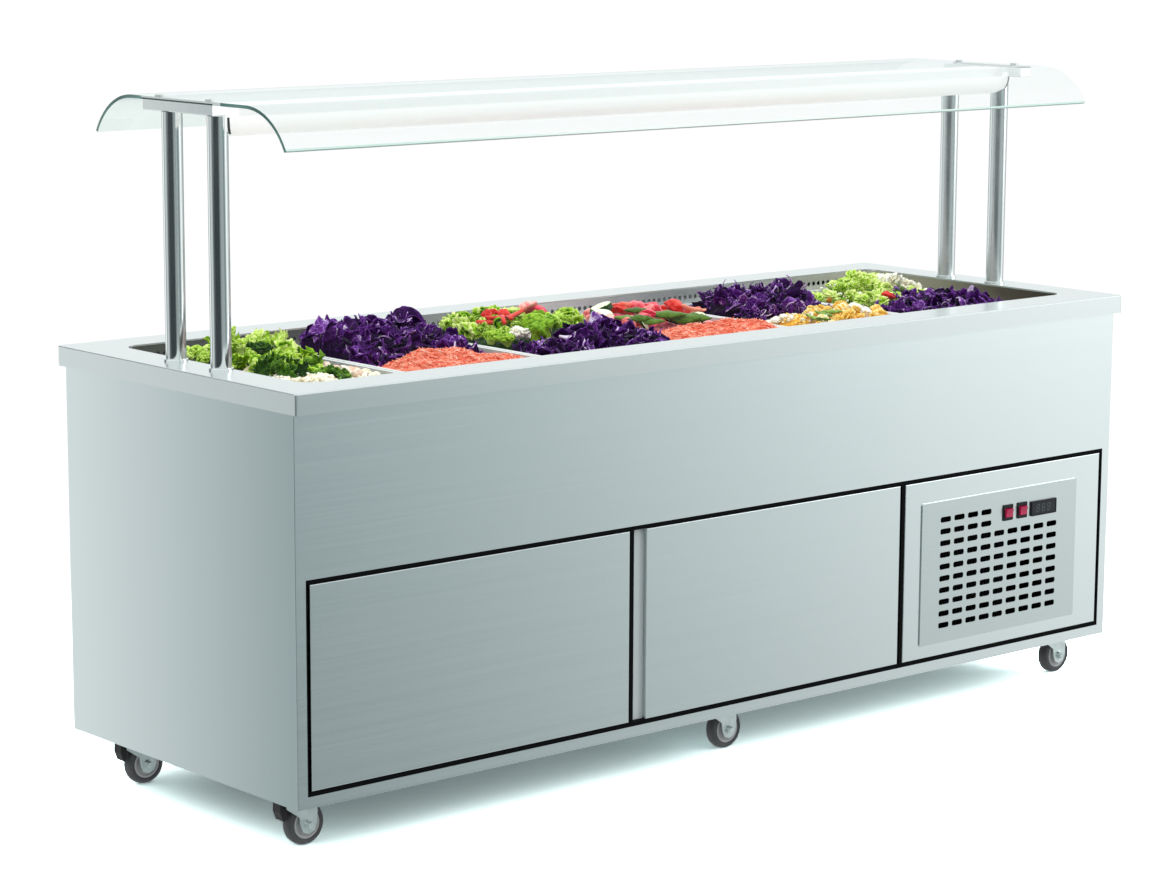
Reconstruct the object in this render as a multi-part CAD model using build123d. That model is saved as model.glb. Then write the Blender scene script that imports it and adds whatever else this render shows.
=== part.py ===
from build123d import *
import math
import os

# Refrigerated buffet counter. Millimetres, +Z up, +X along the counter, -Y is the
# side with the doors. The origin is on the floor under the middle of the counter.

# ---- driving dimensions ------------------------------------------------------
L_TOP, D_TOP, Z_TOP, RIM = 2160.0, 765.0, 840.0, 38.0      # worktop rim
T_TOP = 3.0                                                 # worktop sheet
L_BODY, D_BODY, Z_BODY = 2146.0, 732.0, 100.0               # cabinet, lower edge at Z_BODY
SKIN = 2.0                                                  # cabinet sheet
WELL_L, WELL_D, WELL_R, WELL_FLOOR = 1992.0, 586.0, 35.0, 580.0
PAN_L, PAN_D, PAN_H, PAN_PITCH, PAN_RIM_Z = 325.0, 530.0, 150.0, 329.0, 808.0
FOAM_LOW = 525.0
OPEN_X, OPEN_Z0, OPEN_Z1 = 1051.0, 121.0, 509.0             # door opening in the front
GAP = 9.0                                                   # black line round the doors
DIV1, DIV1_HALF, DIV2, DIV2_HALF = -296.0, 6.0, 437.0, 7.5  # lines between the doors
DOOR_T, PIVOT_IN, PIVOT_BACK, PIN_R = 20.0, 8.0, 10.0, 4.0
FIT = 0.05                                                  # running clearance, radial
POST_X, POST_Y, POST_R, POST_WALL, Z_POST = 1020.0, 72.0, 19.0, 2.0, 1293.0
BRACKET_NEAR, BRACKET_FAR, BRACKET_W, BRACKET_H = 79.0, 145.0, 30.0, 19.0
GLASS_L, GLASS_T, GLASS_FLAT, GLASS_R, GLASS_DEG = 2072.0, 6.0, 181.0, 136.0, 62.0
LAMP_R, LAMP_TOP, LAMP_Y, LAMP_X, LAMP_END = 37.0, 20.0, -65.0, 995.0, 1018.0
GRILLE_X0, GRILLE_X1, GRILLE_Z0, GRILLE_Z1, GRILLE_PROUD = 492.0, 968.0, 157.0, 455.0, 2.5
SLOT_W, SLOT_H, SLOT_PX, SLOT_PZ, SLOT_X0, SLOT_Z1 = 31.0, 11.5, 41.0, 24.7, 547.0, 421.0
SWITCH_X, SWITCH_Z, SWITCH_W, SWITCH_H = (751.0, 795.0), 406.5, 30.0, 34.0
ROCKER_W, ROCKER_H, ROCKER_OUT = 20.0, 17.0, 9.0
TSTAT_X, TSTAT_Z, TSTAT_W, TSTAT_H = 861.5, 405.0, 79.0, 32.0
CASTER_X, CASTER_Y, TRAIL = (-1010.0, 20.0, 1010.0), 260.0, 24.0
WHEEL_R, WHEEL_W, AXLE_R, CASTER_H = 40.0, 25.0, 5.0, 108.0

YF = -D_BODY / 2            # front face of the cabinet
XE = L_BODY / 2             # end face of the cabinet
Z_GLASS = Z_POST + BRACKET_H


# ---- helpers -----------------------------------------------------------------
def bx(x0, x1, y0, y1, z0, z1):
    return Pos((x0 + x1) / 2, (y0 + y1) / 2, (z0 + z1) / 2) * Box(x1 - x0, y1 - y0, z1 - z0)


def cz(x, y, z0, z1, r):
    return Pos(x, y, (z0 + z1) / 2) * Cylinder(r, z1 - z0)


def cy(x, z, y0, y1, r):
    return Pos(x, (y0 + y1) / 2, z) * Rot(90, 0, 0) * Cylinder(r, y1 - y0)


def cx(y, z, x0, x1, r):
    return Pos((x0 + x1) / 2, y, z) * Rot(0, 90, 0) * Cylinder(r, x1 - x0)


def rrz(w, d, r, z0, z1, x=0.0, y=0.0, taper=0.0):
    """Upright prism on a rounded rectangle."""
    return extrude(Pos(x, y, z0) * RectangleRounded(w, d, r), z1 - z0, taper=taper)


def prism_y(points, y0, y1):
    """Prism along Y on a polygon given as (x, z)."""
    face = make_face(Polyline([(x, 0, z) for x, z in points], close=True))
    return Pos(0, y0, 0) * extrude(face, y1 - y0, dir=(0, 1, 0))


def prism_x(points, x0, x1):
    """Prism along X on a polygon given as (y, z)."""
    face = make_face(Polyline([(0, y, z) for y, z in points], close=True))
    return Pos(x0, 0, 0) * extrude(face, x1 - x0, dir=(1, 0, 0))


def prism_z(points, z0, z1):
    """Prism along Z on a polygon given as (x, y)."""
    face = make_face(Polyline([(x, y, 0) for x, y in points], close=True))
    return Pos(0, 0, z0) * extrude(face, z1 - z0, dir=(0, 0, 1))


os.makedirs("parts", exist_ok=True)


def save(name, *shapes):
    solids = [s for shape in shapes for s in shape.solids()]
    export_step(solids[0] if len(solids) == 1 else Compound(children=solids), f"parts/{name}.step")


# ---- worktop and well --------------------------------------------------------
top = rrz(L_TOP, D_TOP, 5, Z_TOP - RIM, Z_TOP)
top = fillet(top.edges().group_by(Axis.Z)[-1], 2.4)
top -= bx(-L_TOP / 2 + T_TOP, L_TOP / 2 - T_TOP, -D_TOP / 2 + T_TOP, D_TOP / 2 - T_TOP, Z_TOP - RIM - 1, Z_TOP - T_TOP)
top -= rrz(WELL_L, WELL_D, WELL_R, Z_TOP - T_TOP - 1, Z_TOP + 1)
save("worktop", top)

tank = rrz(WELL_L + 2 * SKIN, WELL_D + 2 * SKIN, WELL_R + SKIN, WELL_FLOOR - SKIN, Z_TOP - T_TOP)
tank -= rrz(WELL_L, WELL_D, WELL_R, WELL_FLOOR, Z_TOP)
DRAIN_X, DRAIN_Y, DRAIN_R, STUB_R = 940.0, 210.0, 11.0, 12.5
tank -= cz(DRAIN_X, DRAIN_Y, WELL_FLOOR - 10, WELL_FLOOR + 10, DRAIN_R + 0.2)
PIPE_PORT = (900.0, -150.0)
tank -= cz(*PIPE_PORT, WELL_FLOOR - 10, WELL_FLOOR + 10, 20)
# Air windows behind the perforated strips open to the space under the worktop.
for s in (-1, 1):
    y0, y1 = sorted((s * (WELL_D / 2 - 1), s * (WELL_D / 2 + SKIN + 1)))
    for x0 in (-938.0, -468.0, 2.0, 472.0):
        tank -= bx(x0, x0 + 466, y0, y1, PAN_RIM_Z + 3, PAN_RIM_Z + 19)
save("well_liner", tank)

foam = bx(-XE + 4, XE - 4, YF + 4, -YF - 4, FOAM_LOW, 800)
foam -= rrz(WELL_L + 2 * SKIN, WELL_D + 2 * SKIN, WELL_R + SKIN, WELL_FLOOR - SKIN, 801)
foam -= cz(DRAIN_X, DRAIN_Y, FOAM_LOW - 1, WELL_FLOOR, DRAIN_R + 4)
foam -= cz(*PIPE_PORT, FOAM_LOW - 1, WELL_FLOOR, 20)
save("well_insulation", foam)

# Ladder of flat bars that carries the pan rims.
BAR_Z1, BAR_Z0, BAR_HALF, RAIL_Y = PAN_RIM_Z - 2.3, PAN_RIM_Z - 5.3, 8.5, 259.5
bars = []
for s in (-1, 1):
    bars.append(bx(-WELL_L / 2, WELL_L / 2, *sorted((s * RAIL_Y, s * WELL_D / 2)), BAR_Z0, BAR_Z1) & rrz(WELL_L, WELL_D, WELL_R, BAR_Z0, BAR_Z1))
    bars.append(bx(*sorted((s * 979, s * WELL_L / 2)), -RAIL_Y, RAIL_Y, BAR_Z0, BAR_Z1))
for k in (-2, -1, 0, 1, 2):
    bars.append(bx(k * PAN_PITCH - BAR_HALF, k * PAN_PITCH + BAR_HALF, -RAIL_Y, RAIL_Y, BAR_Z0, BAR_Z1))
save("pan_support_bars", *bars)

# Perforated air strips on the two long walls of the well.
strips = []
for s in (-1, 1):
    y0, y1 = sorted((s * (WELL_D / 2 - 1.5), s * WELL_D / 2))
    strip = bx(-950, 950, y0, y1, PAN_RIM_Z - 2, Z_TOP - 6)
    hole = cy(0, PAN_RIM_Z + 11, y0 - 1, y1 + 1, 4.6)
    strip -= [Pos(-930 + 15 * i, 0, 0) * hole for i in range(125)]
    strips.append(strip)
save("air_strips", *strips)

# ---- cabinet -----------------------------------------------------------------
for name, s in (("left_end_panel", -1), ("right_end_panel", 1)):
    panel = bx(*sorted((s * XE, s * (XE - SKIN))), YF, -YF, Z_BODY, Z_TOP - T_TOP)
    outer = panel.faces().sort_by(Axis.X)[-1 if s > 0 else 0]
    panel = fillet(outer.edges().filter_by(Axis.Z), 1.2)
    save(name, panel)

front = bx(-XE + SKIN, XE - SKIN, YF, YF + SKIN, Z_BODY, Z_TOP - T_TOP)
front -= bx(-OPEN_X, OPEN_X, YF - 1, YF + SKIN + 1, OPEN_Z0, OPEN_Z1)
save("front_panel", front)

GLAND_X, GLAND_Z, GLAND_R = 900.0, 210.0, 10.0
back = bx(-XE + SKIN, XE - SKIN, -YF - SKIN, -YF, Z_BODY, Z_TOP - T_TOP)
back -= cy(GLAND_X, GLAND_Z, -YF - 5, -YF + 5, GLAND_R + 0.2)
save("back_panel", back)

TRAY_Z0, TRAY_Z1 = CASTER_H, CASTER_H + 3
tray = bx(-XE + SKIN, XE - SKIN, YF + SKIN, -YF - SKIN, TRAY_Z0, TRAY_Z1)
tray -= cz(DRAIN_X, DRAIN_Y, TRAY_Z0 - 1, TRAY_Z1 + 1, DRAIN_R + 2.5)
save("base_tray", tray)

posts = []
for sx in (-1, 1):
    for sy in (-1, 1):
        x0, x1 = sorted((sx * (XE - SKIN), sx * 1054.0))
        y0, y1 = sorted((sy * (-YF - SKIN), sy * 332.0))
        angle = bx(x0, x1, y0, y1, TRAY_Z1, FOAM_LOW)
        hx0, hx1 = sorted((sx * (XE - 2 * SKIN), sx * 1050.0))
        hy0, hy1 = sorted((sy * (-YF - 2 * SKIN), sy * 330.0))
        posts.append(angle - bx(hx0, hx1, hy0, hy1, TRAY_Z1 - 1, FOAM_LOW + 1))
mullion = bx(DIV1 - 12, DIV1 + 12, YF + 28, YF + 56, TRAY_Z1, FOAM_LOW)
mullion -= bx(DIV1 - 10, DIV1 + 10, YF + 30, YF + 54, TRAY_Z1 - 1, FOAM_LOW + 1)
save("frame_posts", *posts, mullion)

partition = bx(DIV2 - 1.5, DIV2 + 1.5, YF + 28, -YF - SKIN, TRAY_Z1, FOAM_LOW)
save("machine_partition", partition)

# Black seal frame: a lining of the opening, a landing behind the doors, and ribs
# that fill the gaps round the doors up to their faces, clear of each door's swing.
LAND0, LAND1 = YF + 24, YF + 28
DZ0, DZ1 = OPEN_Z0 + GAP, OPEN_Z1 - GAP
YP = YF + PIVOT_BACK
SWING = math.hypot(PIVOT_IN, PIVOT_BACK) - PIVOT_IN + 0.6    # room beside a hinge edge
DOORS = {
    "door_left": (-OPEN_X + GAP, DIV1 - DIV1_HALF, -OPEN_X + GAP + PIVOT_IN),
    "door_right": (DIV1 + DIV1_HALF, DIV2 - DIV2_HALF, DIV2 - DIV2_HALF - PIVOT_IN),
    "service_door": (DIV2 + DIV2_HALF, OPEN_X - GAP, OPEN_X - GAP - PIVOT_IN),
}
seal = bx(-OPEN_X - 2.5, OPEN_X + 2.5, YF + SKIN, LAND1, OPEN_Z0 - 2.5, OPEN_Z1 + 2.5)
seal -= bx(-OPEN_X, OPEN_X, YF, LAND0, OPEN_Z0, OPEN_Z1)
seal -= bx(-1037, DIV1 - 16, YF, LAND1 + 1, 135, 495)
seal -= bx(DIV1 + 16, DIV2 - 16, YF, LAND1 + 1, 135, 495)
seal -= bx(DIV2 + 16, 1037, YF, LAND1 + 1, 135, 495)
RIB_Y = YF + 1.0
for x0, x1 in (
    (-OPEN_X, -OPEN_X + GAP - SWING), (DIV1 - DIV1_HALF + 0.8, DIV1 + DIV1_HALF - 0.8),
    (DIV2 - DIV2_HALF + SWING, DIV2 + DIV2_HALF - 0.8), (OPEN_X - GAP + SWING, OPEN_X),
):
    seal += bx(x0, x1, RIB_Y, LAND0, OPEN_Z0, OPEN_Z1)
for z0, z1 in ((OPEN_Z0, DZ0 - 1.0), (DZ1 + 1.0, OPEN_Z1)):
    seal += bx(-OPEN_X, OPEN_X, RIB_Y, LAND0, z0, z1)
seal -= [cz(xp, YP, z0, z1, 7.4) for _, _, xp in DOORS.values() for z0, z1 in ((OPEN_Z0, DZ0), (DZ1, OPEN_Z1))]
save("door_seal_frame", seal)

# ---- doors -------------------------------------------------------------------
pins = []
for x0, x1, xp in DOORS.values():
    pins.append(cz(xp, YP, DZ1 - 12, OPEN_Z1 - 2, PIN_R) + cz(xp, YP, OPEN_Z1 - 2, OPEN_Z1, 7))
    pins.append(cz(xp, YP, OPEN_Z0 + 2, DZ0 + 12, PIN_R) + cz(xp, YP, OPEN_Z0, OPEN_Z0 + 2, 7))
save("door_hinge_pins", *pins)


def slab(name):
    x0, x1, xp = DOORS[name]
    door = bx(x0, x1, YF, YF + DOOR_T, DZ0, DZ1)
    door = fillet(door.faces().sort_by(Axis.Y)[0].edges(), 1.5)
    for z0, z1 in ((DZ1 - 14, DZ1 + 1), (DZ0 - 1, DZ0 + 14)):
        door -= cz(xp, YP, z0, z1, PIN_R + FIT)
    return door


save("door_left", slab("door_left"))

# The finger grip is a channel along the latch edge of the right door, with a lip to pull on.
gx = DIV1 + DIV1_HALF
grip = prism_z([(gx - 1, YF - 1), (gx + 31, YF - 1), (gx + 31, YF + 2.5), (gx + 35, YF + 4), (gx + 35, YF + 9), (gx + 34, YF + 10), (gx - 1, YF + 10)], DZ0 - 1, DZ1 + 1)
save("door_right", slab("door_right") - grip)

service = slab("service_door")
service -= bx(GRILLE_X0 + 12, GRILLE_X1 - 12, YF - 1, YF + DOOR_T + 1, GRILLE_Z0 + 12, GRILLE_Z1 - 12)
save("service_door", service)

# Raised grille plate: a thick sheet on the face of the door with rows of rounded slots.
grille = bx(GRILLE_X0, GRILLE_X1, YF - GRILLE_PROUD, YF, GRILLE_Z0, GRILLE_Z1)
grille = fillet(grille.edges().filter_by(Axis.Y), 4)
grille = fillet(grille.faces().sort_by(Axis.Y)[0].edges(), 0.8)
YG = YF - GRILLE_PROUD
slot = Pos(0, YG + 3, 0) * extrude(Rot(90, 0, 0) * RectangleRounded(SLOT_W, SLOT_H, 4.2), 6)
slots = []
for row in range(10):
    for col in range(4 if row < 2 else 9):
        slots.append(Pos(SLOT_X0 + SLOT_W / 2 + col * SLOT_PX, 0, SLOT_Z1 - SLOT_H / 2 - row * SLOT_PZ) * slot)
grille -= slots
for sx in SWITCH_X:
    grille -= bx(sx - 12.8, sx + 12.8, YG - 1, YG + 5, SWITCH_Z - 15, SWITCH_Z + 15)
grille -= bx(TSTAT_X - 35.5, TSTAT_X + 35.5, YG - 1, YG + 5, TSTAT_Z - 14.5, TSTAT_Z + 14.5)
save("vent_grille", grille)

# Two rocker switches: a bezel with a housing behind the plate, and the rocker.
bezels = []
for sx in SWITCH_X:
    bezel = bx(sx - SWITCH_W / 2, sx + SWITCH_W / 2, YG - 2.5, YG, SWITCH_Z - SWITCH_H / 2, SWITCH_Z + SWITCH_H / 2)
    bezel = fillet(bezel.edges().filter_by(Axis.Y), 2.5)
    bezel = fillet(bezel.faces().sort_by(Axis.Y)[0].edges(), 0.8)
    bezel += bx(sx - 12.6, sx + 12.6, YG, YG + 24, SWITCH_Z - 14.8, SWITCH_Z + 14.8)
    bezel -= bx(sx - ROCKER_W / 2 - 0.4, sx + ROCKER_W / 2 + 0.4, YG - 4, YG + 14, SWITCH_Z - ROCKER_H / 2 - 1.4, SWITCH_Z + ROCKER_H / 2 + 1.4)
    bezel -= cx(YG + 1.0, SWITCH_Z, sx - 12.2, sx + 12.2, 1.5 + FIT)
    for dx in (-4, 4):
        bezel += bx(sx + dx - 0.4, sx + dx + 0.4, YG + 23, YG + 32, SWITCH_Z - 3, SWITCH_Z + 3)
    bezels.append(bezel)
save("switch_bezels", *bezels)
YR = YG + 1.0
for name, sx in (("rocker_power", SWITCH_X[0]), ("rocker_light", SWITCH_X[1])):
    # The rocker's face is a shallow V; it turns on two stub pins in the bezel and
    # stands tilted to one end of its travel.
    h = ROCKER_H / 2
    pts = [(YR - ROCKER_OUT, h), (YR - ROCKER_OUT + 1.4, 0), (YR - ROCKER_OUT, -h), (YR + 2, -h + 0.4), (YR + 6, -4), (YR + 6, 4), (YR + 2, h - 0.4)]
    body = prism_x(pts, -ROCKER_W / 2, ROCKER_W / 2)
    body = fillet(body.faces().sort_by(Axis.Y)[:2].edges().filter_by(Axis.X).sort_by(Axis.Z)[0], 0.8)
    body += cx(YR, 0, -ROCKER_W / 2 - 1.9, ROCKER_W / 2 + 1.9, 1.5)
    body = Pos(0, YR, 0) * Rot(7, 0, 0) * Pos(0, -YR, 0) * body
    save(name, Pos(sx, 0, SWITCH_Z) * body)

case = bx(TSTAT_X - TSTAT_W / 2, TSTAT_X + TSTAT_W / 2, YG - 4, YG, TSTAT_Z - TSTAT_H / 2, TSTAT_Z + TSTAT_H / 2)
case = fillet(case.edges().filter_by(Axis.Y), 2.5)
case = fillet(case.faces().sort_by(Axis.Y)[0].edges(), 1.0)
case += bx(TSTAT_X - 35.3, TSTAT_X + 35.3, YG, YG + 51, TSTAT_Z - 14.3, TSTAT_Z + 14.3)
case -= bx(TSTAT_X - 35.5, TSTAT_X + 35.5, YG - 5, YG - 2, TSTAT_Z - 12.2, TSTAT_Z + 12.2)
save("thermostat_case", case)
window = bx(TSTAT_X - 35.4, TSTAT_X + 35.4, YG - 3.4, YG - 2, TSTAT_Z - 12.1, TSTAT_Z + 12.1)
save("thermostat_window", window)

# ---- canopy ------------------------------------------------------------------
tubes = []
for sx in (-1, 1):
    for sy in (-1, 1):
        x, y = sx * POST_X, sy * POST_Y
        ring = cz(x, y, Z_TOP, Z_TOP + 5, 22.5)
        ring = fillet(ring.edges().group_by(Axis.Z)[-1], 1.5)
        tube = cz(x, y, Z_TOP, Z_POST, POST_R) + ring
        tubes.append(tube - cz(x, y, Z_TOP + 4, Z_POST - 4, POST_R - POST_WALL))
save("canopy_posts", *tubes)

# The two brackets are alike and are set a half turn apart, so the long end is at the
# back on the left and at the front on the right.
brackets = []
for sx in (-1, 1):
    y0, y1 = sorted((sx * BRACKET_NEAR, -sx * BRACKET_FAR))
    b = bx(sx * POST_X - BRACKET_W / 2, sx * POST_X + BRACKET_W / 2, y0, y1, Z_POST, Z_GLASS)
    brackets.append(fillet(b.edges().filter_by(Axis.Z) + b.edges().group_by(Axis.Z)[0], 1.5))
save("canopy_brackets", *brackets)

# Bent glass: flat in the middle, both long edges bent down on an arc.
a = math.radians(GLASS_DEG)


def glass_side(r):
    zc = Z_GLASS + GLASS_T - GLASS_R
    return [(GLASS_FLAT + r * math.sin(a * t / 24), zc + r * math.cos(a * t / 24)) for t in range(25)]


outer, inner = glass_side(GLASS_R), glass_side(GLASS_R - GLASS_T)


def arc3(p):
    return ThreePointArc((0, p[0][0], p[0][1]), (0, p[12][0], p[12][1]), (0, p[24][0], p[24][1]))


def mirror_pts(p):
    return [(-y, z) for y, z in p]


mo, mi = mirror_pts(outer), mirror_pts(inner)
wires = [
    Line((0, mo[0][0], mo[0][1]), (0, outer[0][0], outer[0][1])), arc3(outer),
    Line((0, outer[24][0], outer[24][1]), (0, inner[24][0], inner[24][1])), arc3(inner),
    Line((0, inner[0][0], inner[0][1]), (0, mi[0][0], mi[0][1])), arc3(mi),
    Line((0, mi[24][0], mi[24][1]), (0, mo[24][0], mo[24][1])), arc3(mo),
]
glass = Pos(-GLASS_L / 2, 0, 0) * extrude(make_face(Wire(wires)), GLASS_L, dir=(1, 0, 0))
FIX = [(sx * POST_X, -sx * y) for sx in (-1, 1) for y in (-48.0, 112.0)]
glass -= [cz(x, y, Z_GLASS - 1, Z_GLASS + GLASS_T + 1, 5.0) for x, y in FIX]
save("glass_canopy", glass)

# Round caps with a shank through the glass into the bracket.
caps = []
for x, y in FIX:
    cap = cz(x, y, Z_GLASS + GLASS_T, Z_GLASS + GLASS_T + 3, 8)
    cap = fillet(cap.edges().group_by(Axis.Z)[-1], 1.2)
    caps.append(cap + cz(x, y, Z_GLASS, Z_GLASS + GLASS_T, 4.8))
save("glass_fixings", *caps)

LZ = Z_GLASS - LAMP_TOP
housing = bx(-LAMP_X, LAMP_X, LAMP_Y - LAMP_R, LAMP_Y + LAMP_R, LZ, Z_GLASS - 0.5)
housing -= bx(-LAMP_X - 1, LAMP_X + 1, LAMP_Y - LAMP_R + 6, LAMP_Y + LAMP_R - 6, LZ - 1, LZ + 8)
save("lamp_housing", housing)
above = bx(-1100, 1100, LAMP_Y - 60, LAMP_Y + 60, LZ, LZ + 60)
save("lamp_diffuser", cx(LAMP_Y, LZ, -LAMP_X, LAMP_X, LAMP_R) - cx(LAMP_Y, LZ, -LAMP_X - 1, LAMP_X + 1, LAMP_R - 2.5) - above)
# The end caps are blocks under the brackets, cut out for the front posts; a tongue
# on each reaches into the housing.
ends = []
for sx in (-1, 1):
    x0, x1 = sorted((sx * LAMP_X, sx * LAMP_END))
    end = cx(LAMP_Y, LZ, x0, x1, LAMP_R) - above
    end += bx(x0, x1, LAMP_Y - LAMP_R, LAMP_Y + LAMP_R, LZ, Z_POST)
    t0, t1 = sorted((sx * (LAMP_X - 12), sx * (LAMP_X + 3)))
    end += bx(t0, t1, LAMP_Y - LAMP_R + 6.3, LAMP_Y + LAMP_R - 6.3, LZ - 8, LZ + 7.7)
    end -= cz(sx * POST_X, -POST_Y, LZ - 60, Z_POST + 1, POST_R + 1)
    ends.append(end)
save("lamp_end_caps", *ends)

# ---- casters -----------------------------------------------------------------
PLATE_Z0 = CASTER_H - 3
plates = []
for x in CASTER_X:
    for y in (-CASTER_Y, CASTER_Y):
        plates.append(rrz(105, 85, 6, PLATE_Z0, CASTER_H, x, y))
        plates.append(cz(x, y, 92.0, PLATE_Z0, 6.0) + cz(x, y, 88.5, 92.0, 10.0))
        for dx in (-40, 40):
            for dy in (-30, 30):
                bolt = extrude(Pos(x + dx, y + dy, PLATE_Z0 - 5.5) * RegularPolygon(6.5, 6), 5.5)
                plates.append(bolt)
save("caster_plates", *plates)


def fork(brake):
    """Swivel fork with its axle, at the origin: king pin on Z, axle at +TRAIL."""
    crown = prism_z([(-26, -17.8), (40, -17.8), (40, 17.8), (-26, 17.8)], 94.5, 98.5)
    crown = fillet(crown.edges().filter_by(Axis.Z), 6)
    leg_pts = [(-26, 96.5), (40, 96.5), (43.5, 62), (42, 40), (36.7, 27.3), (24, 22), (11.3, 27.3), (6, 40), (4, 56), (-24, 76)]
    body = crown
    for s in (-1, 1):
        y0, y1 = sorted((s * 14.8, s * 17.8))
        body += prism_y(leg_pts, y0, y1)
    body += cz(0, 0, 98.5, 104.5, 24)
    body += cy(TRAIL, WHEEL_R, -20.5, 20.5, AXLE_R)
    body += cy(TRAIL, WHEEL_R, -20.8, -17.8, 8.5) + cy(TRAIL, WHEEL_R, 17.8, 20.8, 8.5)
    body -= cz(0, 0, 90, 110, 6.0 + FIT)
    if brake:
        body += cy(-18, 87, -15, 15, 2.5)
    return body


def wheel():
    """Wheel core with its tyre, axle along Y at the origin."""
    w = WHEEL_W / 2
    core = [(AXLE_R + FIT, -w - 1.5), (11, -w - 1.5), (12, -w + 3), (22, -w + 3), (24, -w + 0.6), (28.2, -w + 0.6),
            (28.2, w - 0.6), (24, w - 0.6), (22, w - 3), (12, w - 3), (11, w + 1.5), (AXLE_R + FIT, w + 1.5)]
    tyre = [(28.2, -w + 0.3), (33, -w), (37.4, -w + 2.2), (39.4, -w + 5.6), (WHEEL_R, -4.0),
            (WHEEL_R, 4.0), (39.4, w - 5.6), (37.4, w - 2.2), (33, w), (28.2, w - 0.3)]
    out = []
    for pts in (core, tyre):
        face = make_face(Polyline([(r, y, 0) for r, y in pts], close=True))
        out.append(revolve(face, Axis.Y))
    return out


def pedal():
    """Brake pedal over the leading side of the tyre."""
    pts = [(-33, 93), (-13, 93), (-12.5, 84), (-19, 70), (-23, 54), (-27, 52), (-34, 70)]
    body = prism_y(pts, -11.5, 11.5)
    body = fillet(body.edges().filter_by(Axis.Y), 1.6)
    return body - cy(-18, 87, -20, 20, 2.5 + FIT)


n = 0
for x in CASTER_X:
    for y in (-CASTER_Y, CASTER_Y):
        n += 1
        place = Pos(x, y, 0)
        brake = x < -500
        save(f"caster_fork_{n}", place * fork(brake))
        save(f"caster_wheel_{n}", *[Pos(x + TRAIL, y, WHEEL_R) * s for s in wheel()])
        if brake:
            save(f"brake_pedal_{n}", place * pedal())

# ---- pans --------------------------------------------------------------------
ZR = PAN_RIM_Z


def pan():
    """Gastronorm pan, full size, with its rim at PAN_RIM_Z."""
    outer = rrz(303, 508, 38, ZR - PAN_H, ZR - 1, taper=-1.2)
    outer = fillet(outer.faces().sort_by(Axis.Z)[0].edges(), 16)
    inner = rrz(300, 505, 36.5, ZR - PAN_H + 1.5, ZR + 1, taper=-1.2)
    inner = fillet(inner.faces().sort_by(Axis.Z)[0].edges(), 14.5)
    rim = rrz(PAN_L, PAN_D, 14, ZR - 2, ZR)
    rim = fillet(rim.edges().group_by(Axis.Z)[-1], 0.8)
    return outer + rim - inner


the_pan = pan()
for k in range(6):
    save(f"pan_{k + 1}", Pos((k - 2.5) * PAN_PITCH, 0, 0) * the_pan)

# ---- cold machine ------------------------------------------------------------
COMP = (905.0, -40.0)
comp = cz(*COMP, TRAY_Z1 + 22, 300, 88)
comp = fillet(comp.edges().group_by(Axis.Z)[-1], 55)
comp = fillet(comp.edges().group_by(Axis.Z)[0], 25)
base = bx(COMP[0] - 115, COMP[0] + 115, COMP[1] - 95, COMP[1] + 95, TRAY_Z1 + 16, TRAY_Z1 + 22.5)
feet = [cz(COMP[0] + dx, COMP[1] + dy, TRAY_Z1, TRAY_Z1 + 16, 14) for dx in (-95, 95) for dy in (-75, 75)]
comp = comp + base + bx(COMP[0] - 120, COMP[0] - 84, COMP[1] - 32, COMP[1] + 32, 190, 260)
for foot in feet:
    comp += foot
save("compressor", comp)

CX0, CX1, CY0, CY1, CZ0, CZ1 = 500.0, 790.0, -322.0, -278.0, TRAY_Z1 + 6, 415.0
coil = bx(CX0, CX1, CY0, CY1, CZ0, CZ1)
fins = [bx(CX0 + 10 + 9 * i, CX0 + 14 + 9 * i, CY0 - 1, CY0 + 8, CZ0 + 8, CZ1 - 8) for i in range(30)]
coil -= fins
coil += bx(CX0, CX1, CY0 + 10, CY1 - 10, TRAY_Z1, CZ0)
save("condenser_coil", coil)

FX, FZ = (CX0 + CX1) / 2, (CZ0 + CZ1) / 2
shroud = bx(CX0, CX1, CY1, CY1 + 6, CZ0, CZ1) - cy(FX, FZ, CY1 - 1, CY1 + 7, 128)
shroud += cy(FX, FZ, CY1 + 6, CY1 + 40, 134) - cy(FX, FZ, CY1, CY1 + 41, 131)
for deg in (0, 120, 240):
    arm = Pos(FX, CY1 + 58, FZ) * Rot(0, deg, 0) * Pos(75, 0, 0) * Box(118, 6, 12)
    shroud += arm + Pos(FX, CY1 + 50, FZ) * Rot(0, deg, 0) * Pos(132.5, 0, 0) * Box(3, 22, 12)
shroud += cy(FX, FZ, CY1 + 52, CY1 + 110, 40)
shroud += cy(FX, FZ, CY1 + 10, CY1 + 54, 5)
save("condenser_fan_shroud", shroud)


def fan(radius, hub, depth, blades, pitch, width):
    """Fan wheel on the Z axis, lower face at zero."""
    body = cz(0, 0, 0, depth, hub)
    for i in range(blades):
        blade = Rot(0, 0, 360 / blades * i) * Pos((hub + radius) / 2 - 1, 0, depth / 2) * Rot(pitch, 0, 0) * Box(radius - hub + 2, width, 2.4)
        body += blade
    return body & cz(0, 0, -50, 50, radius)


blade = fan(124, 30, 26, 5, 28, 52) - cz(0, 0, -1, 60, 5 + FIT)
save("condenser_fan_blade", Pos(FX, CY1 + 36, FZ) * Rot(90, 0, 0) * blade)

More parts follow.
